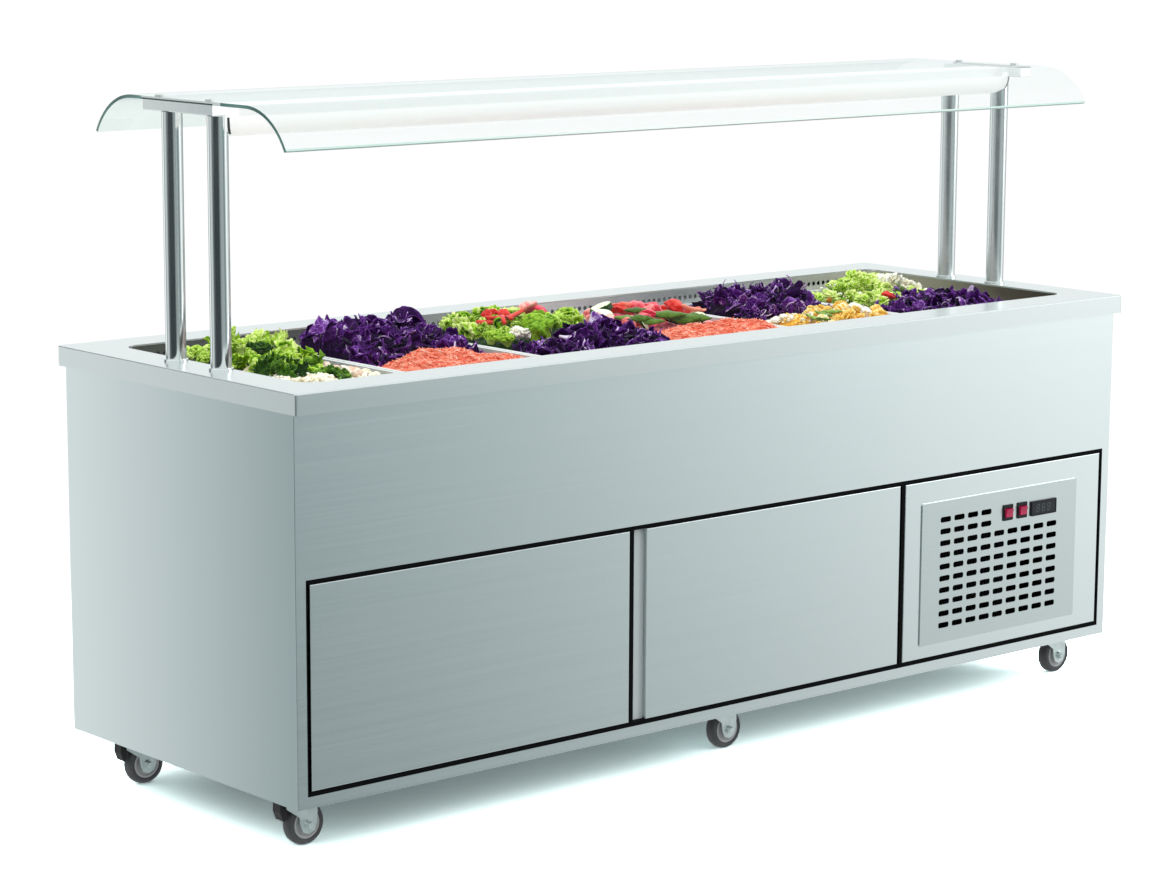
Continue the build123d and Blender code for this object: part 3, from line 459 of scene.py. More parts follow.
def glass():
    """Clear sheet: faces let light through with a faint sea-green cast, cut edges are deep green."""
    m = bpy.data.materials.new("clear_glass")
    m.use_nodes = True
    nt = m.node_tree
    nt.nodes.clear()
    out = nt.nodes.new("ShaderNodeOutputMaterial")
    clear = nt.nodes.new("ShaderNodeBsdfTransparent")
    gloss = nt.nodes.new("ShaderNodeBsdfGlossy")
    gloss.inputs["Color"].default_value = (0.97, 1.0, 0.995, 1)
    gloss.inputs["Roughness"].default_value = 0.03
    haze = noise_fac(nt, obj_coord(nt, (0.5, 6, 6)), 2.0, 3.0, 0.5)
    bend = nt.nodes.new("ShaderNodeSeparateXYZ")
    nt.links.new(obj_coord(nt), bend.inputs[0])
    cast = ramp(nt, remap(nt, bend.outputs["Y"], -0.30, 0.30, 0.0, 1.0), [(0.0, (0.970, 0.985, 0.984)), (0.30, (0.955, 0.978, 0.974)), (0.70, (0.955, 0.978, 0.973)), (0.86, (0.91, 0.957, 0.94)), (1.0, (0.905, 0.953, 0.935))])
    nt.links.new(mix_rgb(nt, remap(nt, haze, 0.35, 0.7, 0, 0.25), cast, (0.90, 0.945, 0.935)), clear.inputs["Color"])
    # only the face that meets the light from outside mirrors it
    fres = nt.nodes.new("ShaderNodeFresnel")
    fres.inputs["IOR"].default_value = 1.45
    geo = nt.nodes.new("ShaderNodeNewGeometry")
    mirror = math_node(nt, "MULTIPLY", fres.outputs[0], math_node(nt, "SUBTRACT", 1.0, geo.outputs["Backfacing"]))
    pane = nt.nodes.new("ShaderNodeMixShader")
    nt.links.new(mirror, pane.inputs[0])
    nt.links.new(clear.outputs[0], pane.inputs[1])
    nt.links.new(gloss.outputs[0], pane.inputs[2])
    # cut edges: the two ends of the sheet and its two long lips
    edge = nt.nodes.new("ShaderNodeBsdfPrincipled")
    tint = noise_fac(nt, obj_coord(nt, (1, 1, 1)), 9.0, 2.0, 0.5)
    edge.inputs["Roughness"].default_value = 0.12
    edge.inputs["Specular IOR Level"].default_value = 0.6
    rim = nt.nodes.new("ShaderNodeBsdfPrincipled")
    rim.inputs["Roughness"].default_value = 0.2
    tc = nt.nodes.new("ShaderNodeTexCoord")
    pos = nt.nodes.new("ShaderNodeSeparateXYZ")
    nt.links.new(tc.outputs["Object"], pos.inputs[0])
    out_x = math_node(nt, "ABSOLUTE", pos.outputs["X"])
    nt.links.new(mix_rgb(nt, remap(nt, out_x, 0.25, 0.85, 0.0, 1.0), (0.70, 0.80, 0.77), (0.52, 0.70, 0.65)), rim.inputs["Base Color"])
    # the lip lies in the plane through the bend's centre line at the end of the bend; the front lip is ground, the rear one polished clear
    across = math_node(nt, "MULTIPLY", math_node(nt, "SUBTRACT", math_node(nt, "ABSOLUTE", pos.outputs["Y"]), 0.181), 0.46947)
    down = math_node(nt, "MULTIPLY", math_node(nt, "SUBTRACT", pos.outputs["Z"], 1.182), 0.88295)
    lips = math_node(nt, "GREATER_THAN", math_node(nt, "SUBTRACT", across, down), -0.0038)
    lips = math_node(nt, "MULTIPLY", lips, math_node(nt, "LESS_THAN", pos.outputs["Y"], 0.0))
    trim = nt.nodes.new("ShaderNodeMixShader")
    nt.links.new(lips, trim.inputs[0])
    nt.links.new(pane.outputs[0], trim.inputs[1])
    nt.links.new(rim.outputs[0], trim.inputs[2])
    # over the bracket the cut end looks pale, with a dark strip under it: painted shade between the glass and the
    # bracket
    turned = math_node(nt, "MULTIPLY", pos.outputs["Y"], math_node(nt, "SIGN", pos.outputs["X"]))
    held = math_node(nt, "LESS_THAN", math_node(nt, "ABSOLUTE", math_node(nt, "ADD", turned, 0.021)), 0.126)
    shade_strip = math_node(nt, "MULTIPLY", math_node(nt, "LESS_THAN", math_node(nt, "ABSOLUTE", math_node(nt, "ADD", turned, 0.033)), 0.114), math_node(nt, "LESS_THAN", pos.outputs["Z"], 1.3148))
    cut = mix_rgb(nt, remap(nt, tint, 0.35, 0.65, 0, 1), (0.045, 0.125, 0.11), (0.16, 0.33, 0.29))
    cut = mix_rgb(nt, held, cut, (0.66, 0.74, 0.73))
    nt.links.new(mix_rgb(nt, shade_strip, cut, (0.025, 0.060, 0.052)), edge.inputs["Base Color"])
    # seen from inside the sheet a cut end stays clear, except over the painted shade strip
    inside = math_node(nt, "MULTIPLY", geo.outputs["Backfacing"], math_node(nt, "SUBTRACT", 1.0, shade_strip))
    ends = math_node(nt, "MULTIPLY", math_node(nt, "GREATER_THAN", out_x, 1.0358), math_node(nt, "SUBTRACT", 1.0, inside))
    mix = nt.nodes.new("ShaderNodeMixShader")
    nt.links.new(ends, mix.inputs[0])
    nt.links.new(trim.outputs[0], mix.inputs[1])
    nt.links.new(edge.outputs[0], mix.inputs[2])
    nt.links.new(mix.outputs[0], out.inputs["Surface"])
    return m


M["rocker"] = red_rocker()
M["window"] = display_window()
M["segment"] = segment_mat()
M["diffuser"] = diffuser()
M["glass"] = glass()


def set_mat(node, key):
    o = NODES[node]
    o.data.materials.clear()
    o.data.materials.append(M[key])


for key, names in {
    "panel": ["front_panel", "back_panel"],
    "door": ["door_left", "service_door"],
    "grip": ["door_right"],
    "end": ["left_end_panel", "right_end_panel"],
    "top": ["worktop"],
    "grille": ["vent_grille"],
    "well": ["well_liner", "air_strips"],
    "tank": ["pan_support_bars"] + [f"pan_{k}" for k in range(1, 7)],
    "posts": ["canopy_posts"],
    "bracket": ["canopy_brackets"],
    "zinc": ["caster_plates"] + [f"caster_fork_{k}" for k in range(1, 7)],
    "galv": ["frame_posts", "machine_partition"],
    "tray": ["base_tray"],
    "foil": ["well_insulation"],
    "coil": ["evaporator_coil", "condenser_fan_blade"],
    "button": ["glass_fixings"],
    "dark_coil": ["condenser_coil"],
    "copper": ["refrigerant_pipes"],
    "black_steel": ["compressor", "condenser_fan_shroud"],
    "black": ["switch_bezels", "thermostat_case", "mains_gland", "evaporator_fan"],
    "cap": ["lamp_end_caps"],
    "seal": ["door_seal_frame", "door_hinge_pins"],
    "grey_plastic": ["drain_outlet"],
    "white_enamel": ["lamp_housing"],
    "diffuser": ["lamp_diffuser"],
    "glass": ["glass_canopy"],
    "rocker": ["rocker_power", "rocker_light"],
    "window": ["thermostat_window"],
    "pedal": ["brake_pedal_1", "brake_pedal_2"],
}.items():
    for name in names:
        set_mat(name, key)


# ---- mesh helpers -------------------------------------------------------------
def make_piece(name, verts, faces, mats, body, face_mat=None, smooth=True, tint=None):
    me = bpy.data.meshes.new(name)
    me.from_pydata([tuple(v) for v in np.asarray(verts, float)], [], [tuple(int(i) for i in f) for f in faces])
    me.update()
    for x in mats:
        me.materials.append(x)
    if face_mat is not None:
        me.polygons.foreach_set("material_index", np.asarray(face_mat, np.int32))
    me.polygons.foreach_set("use_smooth", np.full(len(me.polygons), smooth))
    if tint is not None:
        a = me.attributes.new("tint", "FLOAT", "POINT")
        a.data.foreach_set("value", np.asarray(tint, np.float32))
    o = bpy.data.objects.new(name, me)
    scene.collection.objects.link(o)
    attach(o, body)
    return o


def revolve_y(profile, cx, cy, cz, seg=72):
    """Closed ring on a closed profile of (radius, y)."""
    n = len(profile)
    a = np.arange(seg) * 2 * math.pi / seg
    v = np.array([[cx + r * math.cos(t), cy + y, cz + r * math.sin(t)] for t in a for r, y in profile])
    f = []
    for i in range(seg):
        j = (i + 1) % seg
        for k in range(n):
            m = (k + 1) % n
            f.append((i * n + k, i * n + m, j * n + m, j * n + k))
    return v, np.array(f)


class Bag:
    """Collects many small closed shapes into one piece."""

    def __init__(self):
        self.v, self.f, self.t, self.n = [], [], [], 0

    def add(self, v, f, t):
        v = np.asarray(v, float)
        self.v.append(v)
        self.f.extend((np.asarray(f) + self.n).tolist())
        self.t.append(np.broadcast_to(np.asarray(t, float), (len(v),)))
        self.n += len(v)

    def build(self, name, mat, body, cx=None):
        v = np.concatenate(self.v)
        if cx is not None:
            v[:, 0] = np.clip(v[:, 0], cx - 0.1465, cx + 0.1465)
            v[:, 1] = np.clip(v[:, 1], -0.2465, 0.2465)
        o = make_piece(name, v, self.f, [mat], body, None, True, np.concatenate(self.t))
        o.visible_glossy = cx is None
        return o


# ---- casters ------------------------------------------------------------------
def tyre_mat():
    m, nt, b = tree("tyre_rubber")
    blot = noise_fac(nt, obj_coord(nt), 55.0, 4.0, 0.6)
    fine = noise_fac(nt, obj_coord(nt), 1400.0, 2.0, 0.5)
    nt.links.new(mix_rgb(nt, remap(nt, blot, 0.3, 0.7, 0, 1), (0.060, 0.064, 0.068), (0.10, 0.105, 0.11)), b.inputs["Base Color"])
    nt.links.new(remap(nt, blot, 0.3, 0.7, 0.48, 0.64), b.inputs["Roughness"])
    bump(nt, b, fine, 0.15, 0.0003)
    return m


M["tyre"] = tyre_mat()
M["core"] = plastic("wheel_core", (0.50, 0.52, 0.525), (0.35, 0.48), 900.0, 0.08, 0.06)
W2 = 0.0125
TYRE = [(0.0282, -W2 + 0.0004), (0.0300, -W2 + 0.0001), (0.0316, -W2 + 0.0008), (0.0326, -W2), (0.0344, -W2 + 0.0003), (0.0364, -W2 + 0.0014), (0.0380, -W2 + 0.0032),
        (0.0391, -W2 + 0.0056), (0.0398, -0.0042), (0.0400, 0.0), (0.0398, 0.0042), (0.0391, W2 - 0.0056), (0.0380, W2 - 0.0032), (0.0364, W2 - 0.0014),
        (0.0344, W2 - 0.0003), (0.0326, W2), (0.0316, W2 - 0.0008), (0.0300, W2 - 0.0001), (0.0282, W2 - 0.0004)]
CORE = [(0.00505, -W2 - 0.0015), (0.0085, -W2 - 0.0015), (0.0092, -W2 - 0.0012), (0.0098, -W2 + 0.0006), (0.0118, -W2 + 0.0030), (0.0205, -W2 + 0.0034), (0.0224, -W2 + 0.0018),
        (0.0238, -W2 + 0.0004), (0.0262, -W2 + 0.0002), (0.0274, -W2 + 0.0008), (0.0281, -W2 + 0.0016)]
CORE = CORE + [(r, -y) for r, y in reversed(CORE)]
n_caster = 0
for cx in (-1.010, 0.020, 1.010):
    for cy in (-0.26, 0.26):
        n_caster += 1
        tv, tf = revolve_y(TYRE, cx + 0.024, cy, 0.040, 96)
        cv, cf = revolve_y(CORE, cx + 0.024, cy, 0.040, 64)
        wheel = make_piece(f"wheel_{n_caster}", np.concatenate([tv, cv]), tf.tolist() + (cf + len(tv)).tolist(), [M["tyre"], M["core"]], f"caster_wheel_{n_caster}",
                           [0] * len(tf) + [1] * len(cf))
        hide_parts(f"caster_wheel_{n_caster}")
        # hexagon bolt head and nut on the ends of the axle, with their washers
        bag = Bag()
        for s in (-1, 1):
            y0 = cy + s * 0.0208
            for sides, rad, deep, lip in ((40, 0.0074, 0.0010, 0.0002), (6, 0.0062, 0.0040, 0.0007)):
                ang = np.arange(sides) * 2 * math.pi / sides + 0.3
                rows = [(rad, 0.0), (rad, deep - lip), (rad - lip, deep), (rad * 0.45, deep)]
                v = np.array([[cx + 0.024 + r * math.cos(a), y0 + s * d, 0.040 + r * math.sin(a)] for r, d in rows for a in ang])
                f = [(i * sides + j, i * sides + (j + 1) % sides, (i + 1) * sides + (j + 1) % sides, (i + 1) * sides + j) for i in range(3) for j in range(sides)]
                v = np.concatenate([v, [[cx + 0.024, y0 + s * deep, 0.040], [cx + 0.024, y0, 0.040]]])
                top, low = len(v) - 2, len(v) - 1
                f = [tuple(q) for q in f] + [(3 * sides + j, 3 * sides + (j + 1) % sides, top) for j in range(sides)] + [((j + 1) % sides, j, low) for j in range(sides)]
                if s > 0:
                    f = [tuple(reversed(q)) for q in f]
                y0 += s * deep
                bag.v.append(v)
                bag.f.extend([tuple(i + bag.n for i in q) for q in f])
                bag.t.append(np.zeros(len(v)))
                bag.n += len(v)
        bolt = bag.build(f"axle_bolt_{n_caster}", M["zinc"], f"caster_fork_{n_caster}")
        bolt.data.polygons.foreach_set("use_smooth", np.full(len(bolt.data.polygons), False))


# ---- thermostat digits --------------------------------------------------------
def seven_segments(x, z, h, y):
    """Unlit bars of one digit as flat hexagons with a little depth."""
    w, t = h * 0.52, h * 0.13
    bars = [((x, z + h / 2), True), ((x, z), True), ((x, z - h / 2), True), ((x - w / 2, z + h / 4), False), ((x + w / 2, z + h / 4), False), ((x - w / 2, z - h / 4), False), ((x + w / 2, z - h / 4), False)]
    out = []
    for (bx, bz), flat in bars:
        half = (w if flat else h / 2) / 2 - t * 0.18
        pts = [(-half, 0), (-half + t / 2, t / 2), (half - t / 2, t / 2), (half, 0), (half - t / 2, -t / 2), (-half + t / 2, -t / 2)]
        if not flat:
            pts = [(q, p) for p, q in reversed(pts)]
        pts = [(p + 0.12 * q, q) for p, q in pts]
        front = [(bx + p + 0.12 * (bz - z), y, bz + q) for p, q in pts]
        back = [(px, y + 0.0002, pz) for px, _, pz in front]
        out.append((np.array(front + back), [(0, 1, 2, 3), (0, 3, 4, 5), (9, 8, 7, 6), (11, 10, 9, 6)] + [((i + 1) % 6, i, 6 + i, 6 + (i + 1) % 6) for i in range(6)]))
    return out


wlo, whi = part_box("thermostat_window")
bag = Bag()
for i in range(3):
    cxm = (wlo.x + whi.x) / 2 + (i - 1) * 0.0168 - 0.002
    for v, f in seven_segments(cxm, (wlo.z + whi.z) / 2, 0.0150, wlo.y - 0.0001):
        bag.add(v, f, 0.0)
digits = bag.build("display_digits", M["segment"], "service_door")
digits.data.polygons.foreach_set("use_smooth", np.full(len(digits.data.polygons), False))


# ---- food ---------------------------------------------------------------------
def food_mat(name, stops, rough, grain, relief, spec=0.18, vary=0.30, mottle=0.5, veins=None, sub=0.0):
    """Colour runs along the tint of each scrap, differs from scrap to scrap, and is mottled; some leaves show veins."""
    m, nt, b = tree(name)
    at = nt.nodes.new("ShaderNodeAttribute")
    at.attribute_name = "tint"
    geo = nt.nodes.new("ShaderNodeNewGeometry")
    vec = obj_coord(nt)
    mott = noise_fac(nt, vec, grain, 3.0, 0.6)
    t = math_node(nt, "ADD", at.outputs["Fac"], math_node(nt, "MULTIPLY", math_node(nt, "SUBTRACT", geo.outputs["Random Per Island"], 0.5), vary))
    t = math_node(nt, "ADD", t, math_node(nt, "MULTIPLY", math_node(nt, "SUBTRACT", mott, 0.5), mottle))
    if veins:
        scale, width, amount = veins
        net = voronoi(nt, vec, scale, "DISTANCE_TO_EDGE")
        t = math_node(nt, "ADD", t, remap(nt, net, 0.0, width, amount, 0.0))
    nt.links.new(ramp(nt, t, stops), b.inputs["Base Color"])
    nt.links.new(remap(nt, mott, 0.3, 0.7, rough[0], rough[1]), b.inputs["Roughness"])
    b.inputs["Specular IOR Level"].default_value = spec
    if sub:
        b.inputs["Subsurface Weight"].default_value = sub
        b.inputs["Subsurface Radius"].default_value = (1.0, 0.8, 0.35)
        b.inputs["Subsurface Scale"].default_value = 0.004
    bump(nt, b, mott, relief, 0.0008)
    return m


FOOD = {
    "cabbage": food_mat("red_cabbage", [(0.0, (0.005, 0.0010, 0.010)), (0.28, (0.020, 0.0026, 0.043)), (0.52, (0.074, 0.010, 0.150)), (0.74, (0.19, 0.050, 0.35)), (0.90, (0.44, 0.26, 0.60)), (1.0, (0.80, 0.72, 0.84))], (0.42, 0.58), 330.0, 0.4, 0.07, 0.34, 0.5, (88.0, 0.07, 0.26)),
    "grated": food_mat("grated_root", [(0.0, (0.50, 0.040, 0.018)), (0.28, (0.80, 0.120, 0.062)), (0.55, (0.94, 0.27, 0.165)), (0.80, (1.0, 0.50, 0.36)), (1.0, (1.0, 0.72, 0.60))], (0.4, 0.55), 62.0, 0.2, 0.1, 0.42, 0.95),
    "lettuce": food_mat("lettuce", [(0.0, (0.010, 0.034, 0.002)), (0.28, (0.055, 0.165, 0.004)), (0.55, (0.22, 0.45, 0.012)), (0.80, (0.47, 0.73, 0.050)), (1.0, (0.79, 0.91, 0.33))], (0.34, 0.5), 150.0, 0.5, 0.16, 0.3, 0.95),
    "leaf": food_mat("dark_leaf", [(0.0, (0.002, 0.010, 0.001)), (0.4, (0.012, 0.052, 0.003)), (0.72, (0.055, 0.165, 0.008)), (1.0, (0.20, 0.40, 0.035))], (0.34, 0.5), 190.0, 0.5, 0.14, 0.3, 0.8),
    "broccoli": food_mat("broccoli", [(0.0, (0.008, 0.030, 0.002)), (0.32, (0.050, 0.14, 0.005)), (0.62, (0.17, 0.37, 0.014)), (0.86, (0.40, 0.63, 0.060)), (1.0, (0.66, 0.80, 0.24))], (0.5, 0.66), 420.0, 0.8, 0.12, 0.25, 0.7),
    "cauliflower": food_mat("cauliflower", [(0.0, (0.46, 0.37, 0.21)), (0.35, (0.76, 0.68, 0.46)), (0.7, (0.95, 0.91, 0.75)), (1.0, (1.0, 0.99, 0.92))], (0.45, 0.6), 420.0, 0.6, 0.15),
    "red": food_mat("red_pepper", [(0.0, (0.30, 0.004, 0.004)), (0.4, (0.66, 0.016, 0.016)), (0.7, (0.86, 0.075, 0.050)), (1.0, (0.97, 0.36, 0.25))], (0.2, 0.32), 90.0, 0.12, 0.3, 0.3, 0.4),
    "pink": food_mat("pink_melon", [(0.0, (0.52, 0.014, 0.040)), (0.45, (0.82, 0.050, 0.105)), (0.8, (0.93, 0.19, 0.20)), (1.0, (1.0, 0.56, 0.48))], (0.22, 0.34), 110.0, 0.2, 0.3, 0.35, 0.5),
    "yellow": food_mat("yellow_fruit", [(0.0, (0.46, 0.16, 0.010)), (0.35, (0.80, 0.40, 0.036)), (0.65, (0.93, 0.62, 0.115)), (0.88, (0.99, 0.82, 0.32)), (1.0, (1.0, 0.94, 0.66))], (0.3, 0.45), 150.0, 0.3, 0.2, 0.4, 0.6),
    "prawn": food_mat("pink_flesh", [(0.0, (0.66, 0.25, 0.16)), (0.5, (0.90, 0.58, 0.44)), (1.0, (1.0, 0.90, 0.80))], (0.3, 0.45), 160.0, 0.25, 0.2, 0.3, 0.6),
    "cucumber": food_mat("cucumber", [(0.0, (0.004, 0.022, 0.003)), (0.38, (0.018, 0.075, 0.006)), (0.58, (0.24, 0.40, 0.10)), (0.8, (0.70, 0.80, 0.48)), (1.0, (0.92, 0.95, 0.76))], (0.25, 0.4), 140.0, 0.2, 0.25, 0.12, 0.2),
    "pod": food_mat("green_pod", [(0.0, (0.010, 0.034, 0.002)), (0.4, (0.045, 0.112, 0.006)), (0.75, (0.125, 0.25, 0.018)), (1.0, (0.32, 0.48, 0.08))], (0.22, 0.34), 120.0, 0.2, 0.3),
}


def frames(rng, n, tilt):
    """n random frames: t lies near the level, with its side b and normal u."""
    yaw = rng.uniform(0, 2 * math.pi, n)
    pit = rng.normal(0, tilt, n)
    t = np.stack([np.cos(yaw) * np.cos(pit), np.sin(yaw) * np.cos(pit), np.sin(pit)], -1)
    b = np.stack([-np.sin(yaw), np.cos(yaw), np.zeros(n)], -1)
    return t, b, np.cross(t, b)


def ribbons(bag, rng, pos, length, width, thick, curl, twist, seg, tilt, tint, edge):
    """Curved shreds with a lens-shaped section."""
    n = len(pos)
    t, b, u = frames(rng, n, tilt)
    th = rng.uniform(0, 2 * math.pi, n)[:, None]
    c = np.cos(th) * b + np.sin(th) * u
    d = np.cross(t, c)
    L = rng.uniform(*length, n)
    w = rng.uniform(*width, n)
    h = rng.uniform(*thick, n)
    k = rng.uniform(*curl, n) * rng.choice([-1, 1], n)
    tw0, tw1 = rng.uniform(0, math.pi, n), rng.uniform(-twist, twist, n)
    base = rng.uniform(*tint, n)
    s = np.linspace(-0.5, 0.5, seg + 1)
    sect = np.array([(-0.5, 0), (-0.25, 0.5), (0.25, 0.5), (0.5, 0), (0.25, -0.5), (-0.25, -0.5)])
    rim = np.array([1, 0, 0, 1, 0, 0.0])
    V = np.zeros((n, seg + 1, 6, 3))
    T = np.zeros((n, seg + 1, 6))
    for i, si in enumerate(s):
        ph = (k * L * si)[:, None]
        kk = k[:, None]
        p = pos + t * np.sin(ph) / kk + c * (1 - np.cos(ph)) / kk
        C = -t * np.sin(ph) + c * np.cos(ph)
        tau = (tw0 + tw1 * si)[:, None]
        e1, e2 = np.cos(tau) * C + np.sin(tau) * d, -np.sin(tau) * C + np.cos(tau) * d
        fade = math.sqrt(max(0.12, 1 - (2 * abs(si)) ** 3 * 0.85))
        for j, (a, q) in enumerate(sect):
            V[:, i, j] = p + e1 * (a * w * fade)[:, None] + e2 * (q * h)[:, None]
            T[:, i, j] = base + edge * rim[j]
    f = []
    for i in range(seg):
        for j in range(6):
            m = (j + 1) % 6
            f.append((i * 6 + j, i * 6 + m, (i + 1) * 6 + m, (i + 1) * 6 + j))
    e = seg * 6
    f += [(3, 2, 1, 0), (5, 4, 3, 0), (e, e + 1, e + 2, e + 3), (e, e + 3, e + 4, e + 5)]
    f = np.array(f)
    per = (seg + 1) * 6
    faces = (f[None] + (np.arange(n) * per)[:, None, None]).reshape(-1, 4)
    bag.add(V.reshape(-1, 3), faces, T.reshape(-1))


def sheet_faces(nu, nv):
    """Quads of a closed sheet: a top grid, the same grid below it, and the four sides."""
    g = lambda i, j: i * nv + j
    m = nu * nv
    f = []
    for i in range(nu - 1):
        for j in range(nv - 1):
            f.append((g(i, j), g(i, j + 1), g(i + 1, j + 1), g(i + 1, j)))
            f.append((m + g(i + 1, j), m + g(i + 1, j + 1), m + g(i, j + 1), m + g(i, j)))
    for i in range(nu - 1):
        f.append((g(i, 0), g(i + 1, 0), m + g(i + 1, 0), m + g(i, 0)))
        f.append((g(i + 1, nv - 1), g(i, nv - 1), m + g(i, nv - 1), m + g(i + 1, nv - 1)))
    for j in range(nv - 1):
        f.append((g(0, j + 1), g(0, j), m + g(0, j), m + g(0, j + 1)))
        f.append((g(nu - 1, j), g(nu - 1, j + 1), m + g(nu - 1, j + 1), m + g(nu - 1, j)))
    return np.array(f)


def thicken(P, thick):
    du, dv = np.gradient(P, axis=0), np.gradient(P, axis=1)
    N = np.cross(dv, du)
    N = N / np.maximum(np.linalg.norm(N, axis=-1, keepdims=True), 1e-9)
    return np.concatenate([(P + N * thick / 2).reshape(-1, 3), (P - N * thick / 2).reshape(-1, 3)])


LEAF_F = sheet_faces(15, 11)
SHARD_F = sheet_faces(11, 9)


def leaves(bag, rng, pos, length, width, ruffle, waves, bend, tilt, tint, thick=0.0009):
    """Crinkled leaves with a fluttering margin, closed front and back."""
    u = np.linspace(0, 1, 15)[:, None]
    v = np.linspace(-1, 1, 11)[None, :]
    for p in pos:
        L, Wd = rng.uniform(*length), rng.uniform(*width)
        amp, fq = rng.uniform(*ruffle), rng.uniform(*waves)
        bd = rng.uniform(*bend)
        ph = rng.uniform(0, 6.28, 4)
        half = Wd * (np.sin(math.pi * (0.06 + 0.90 * u) ** 0.75) ** 0.6)
        half = half * (1 + 0.10 * np.sin(fq * 9 * u + ph[0]))
        x = v * half
        y = L * (u - 0.5) + 0 * v
        z = bd * L * (4 * (u - 0.5) ** 2 - 0.4) + Wd * 0.45 * v ** 2
        z = z + amp * np.abs(v) ** 1.6 * np.sin(2 * math.pi * fq * u + ph[1] + 1.3 * np.sign(v)) + 0.4 * amp * np.sin(2 * math.pi * fq * 1.7 * u + 5 * v + ph[2])
        x = x + 0.35 * amp * np.abs(v) ** 1.5 * np.sin(2 * math.pi * fq * 1.3 * u + ph[3]) * np.sign(v)
        yaw, pit, rol = rng.uniform(0, 2 * math.pi), rng.normal(*tilt), rng.normal(0, 0.4)
        R = np.array(Matrix.Rotation(yaw, 3, "Z") @ Matrix.Rotation(pit, 3, "X") @ Matrix.Rotation(rol, 3, "Y"))
        V = thicken(np.stack([x, y, z], -1), thick) @ R.T + p
        tb = rng.uniform(*tint)
        tt = tb + 0.22 * (np.abs(v) ** 2 - 0.3) + 0.10 * u + 0.35 * np.exp(-(v / 0.10) ** 2) * (1 - 0.5 * u)
        bag.add(V, LEAF_F, np.concatenate([tt.reshape(-1), tt.reshape(-1) - 0.05]))


def shards(bag, rng, pos, size, tint, tilt=0.55, thick=(0.0012, 0.0020), rib=0.35, pale=0.42):
    """Torn pieces of a thick crisp leaf: creased, cupped, pale along the cut edges and on the rib."""
    u = np.linspace(-1, 1, 11)[:, None]
    v = np.linspace(-1, 1, 9)[None, :]
    for p in pos:
        a = rng.uniform(*size)
        b = a * rng.uniform(0.34, 0.72)
        ph = rng.uniform(0, 6.283, 6)
        x = a * (u * (1 - 0.20 * v ** 2) + 0.12 * np.sin(2.2 * v + ph[0]) + 0.05 * np.sin(6 * v + ph[1]))
        y = b * (v * (1 - 0.28 * u ** 2) + 0.16 * np.sin(2.0 * u + ph[2]) + 0.07 * np.sin(5.5 * u + ph[3]))
        z = rng.uniform(-14, 14) * (x ** 2) + rng.uniform(-20, 20) * (y ** 2)
        for _ in range(3):
            th, c = rng.uniform(0, math.pi), rng.uniform(-0.6, 0.6) * b
            d = x * math.cos(th) + y * math.sin(th) - c
            z = z + rng.choice([-1, 1]) * rng.uniform(0.20, 0.85) * np.sqrt(d * d + 1.0e-6)
        z = z + 0.0014 * np.sin(x / 0.0034 + ph[4]) * np.sin(y / 0.0031 + ph[5])
        z = z - z.mean()
        R = np.array(Matrix.Rotation(rng.uniform(0, 6.283), 3, "Z") @ Matrix.Rotation(rng.normal(0, tilt), 3, "X") @ Matrix.Rotation(rng.normal(0, tilt), 3, "Y"))
        V = thicken(np.stack([x, y, z], -1), rng.uniform(*thick)) @ R.T + p
        edge = np.maximum(np.abs(u), np.abs(v)) ** 10
        t = rng.uniform(*tint) + pale * edge * rng.uniform(0.3, 1.0) + 0.10 * np.sin(x / 0.006 + ph[1]) * np.sin(y / 0.005 + ph[2])
        if rng.uniform() < rib:
            t = t + rng.uniform(0.4, 0.75) * np.exp(-((v - 0.3 * np.sin(1.5 * u + ph[0])) / rng.uniform(0.14, 0.26)) ** 2)
        bag.add(V, SHARD_F, np.concatenate([t.reshape(-1), t.reshape(-1)]))


def cube_ball(n):
    """Unit ball of quads."""
    seen, verts, faces = {}, [], []

    def idx(p):
        k = tuple(np.round(p, 6))
        if k not in seen:
            seen[k] = len(verts)
            verts.append(p)
        return seen[k]

    for ax in range(3):
        for s in (-1, 1):
            for i in range(n):
                for j in range(n):
                    q = []
                    for a, b in ((i, j), (i + 1, j), (i + 1, j + 1), (i, j + 1)):
                        c = [math.tan((2 * a / n - 1) * math.pi / 4), math.tan((2 * b / n - 1) * math.pi / 4)]
                        p = [0, 0, 0]
                        p[ax], p[(ax + 1) % 3], p[(ax + 2) % 3] = s, c[0], c[1]
                        q.append(idx(np.array(p) / np.linalg.norm(p)))
                    faces.append(tuple(q) if s > 0 else tuple(reversed(q)))
    return np.array(verts), np.array(faces)


BALL_S, BALL_SF = cube_ball(4)
BALL_M, BALL_MF = cube_ball(9)
BALL_L, BALL_LF = cube_ball(15)
BALL_F, BALL_FF = cube_ball(22)


def spin(rng, tilt=3.2):
    return np.array(Matrix.Rotation(rng.uniform(0, 6.283), 3, "Z") @ Matrix.Rotation(rng.uniform(-tilt, tilt), 3, "X") @ Matrix.Rotation(rng.uniform(-tilt, tilt), 3, "Y"))


def folds(rng, q, bands):
    """Wandering ridges over the unit ball: 0 in the creases, 1 on the crests."""
    a = rng.normal(0, 1, (4, 3))
    ph = rng.uniform(0, 6.283, 4)
    w = sum(g * np.sin(q @ (d * s) + p) for d, s, p, g in zip(a, (1.2, 1.6, 2.2, 3.2), ph, (1.0, 0.8, 0.55, 0.4)))
    return 0.5 + 0.5 * np.sin(bands * w + ph[0])


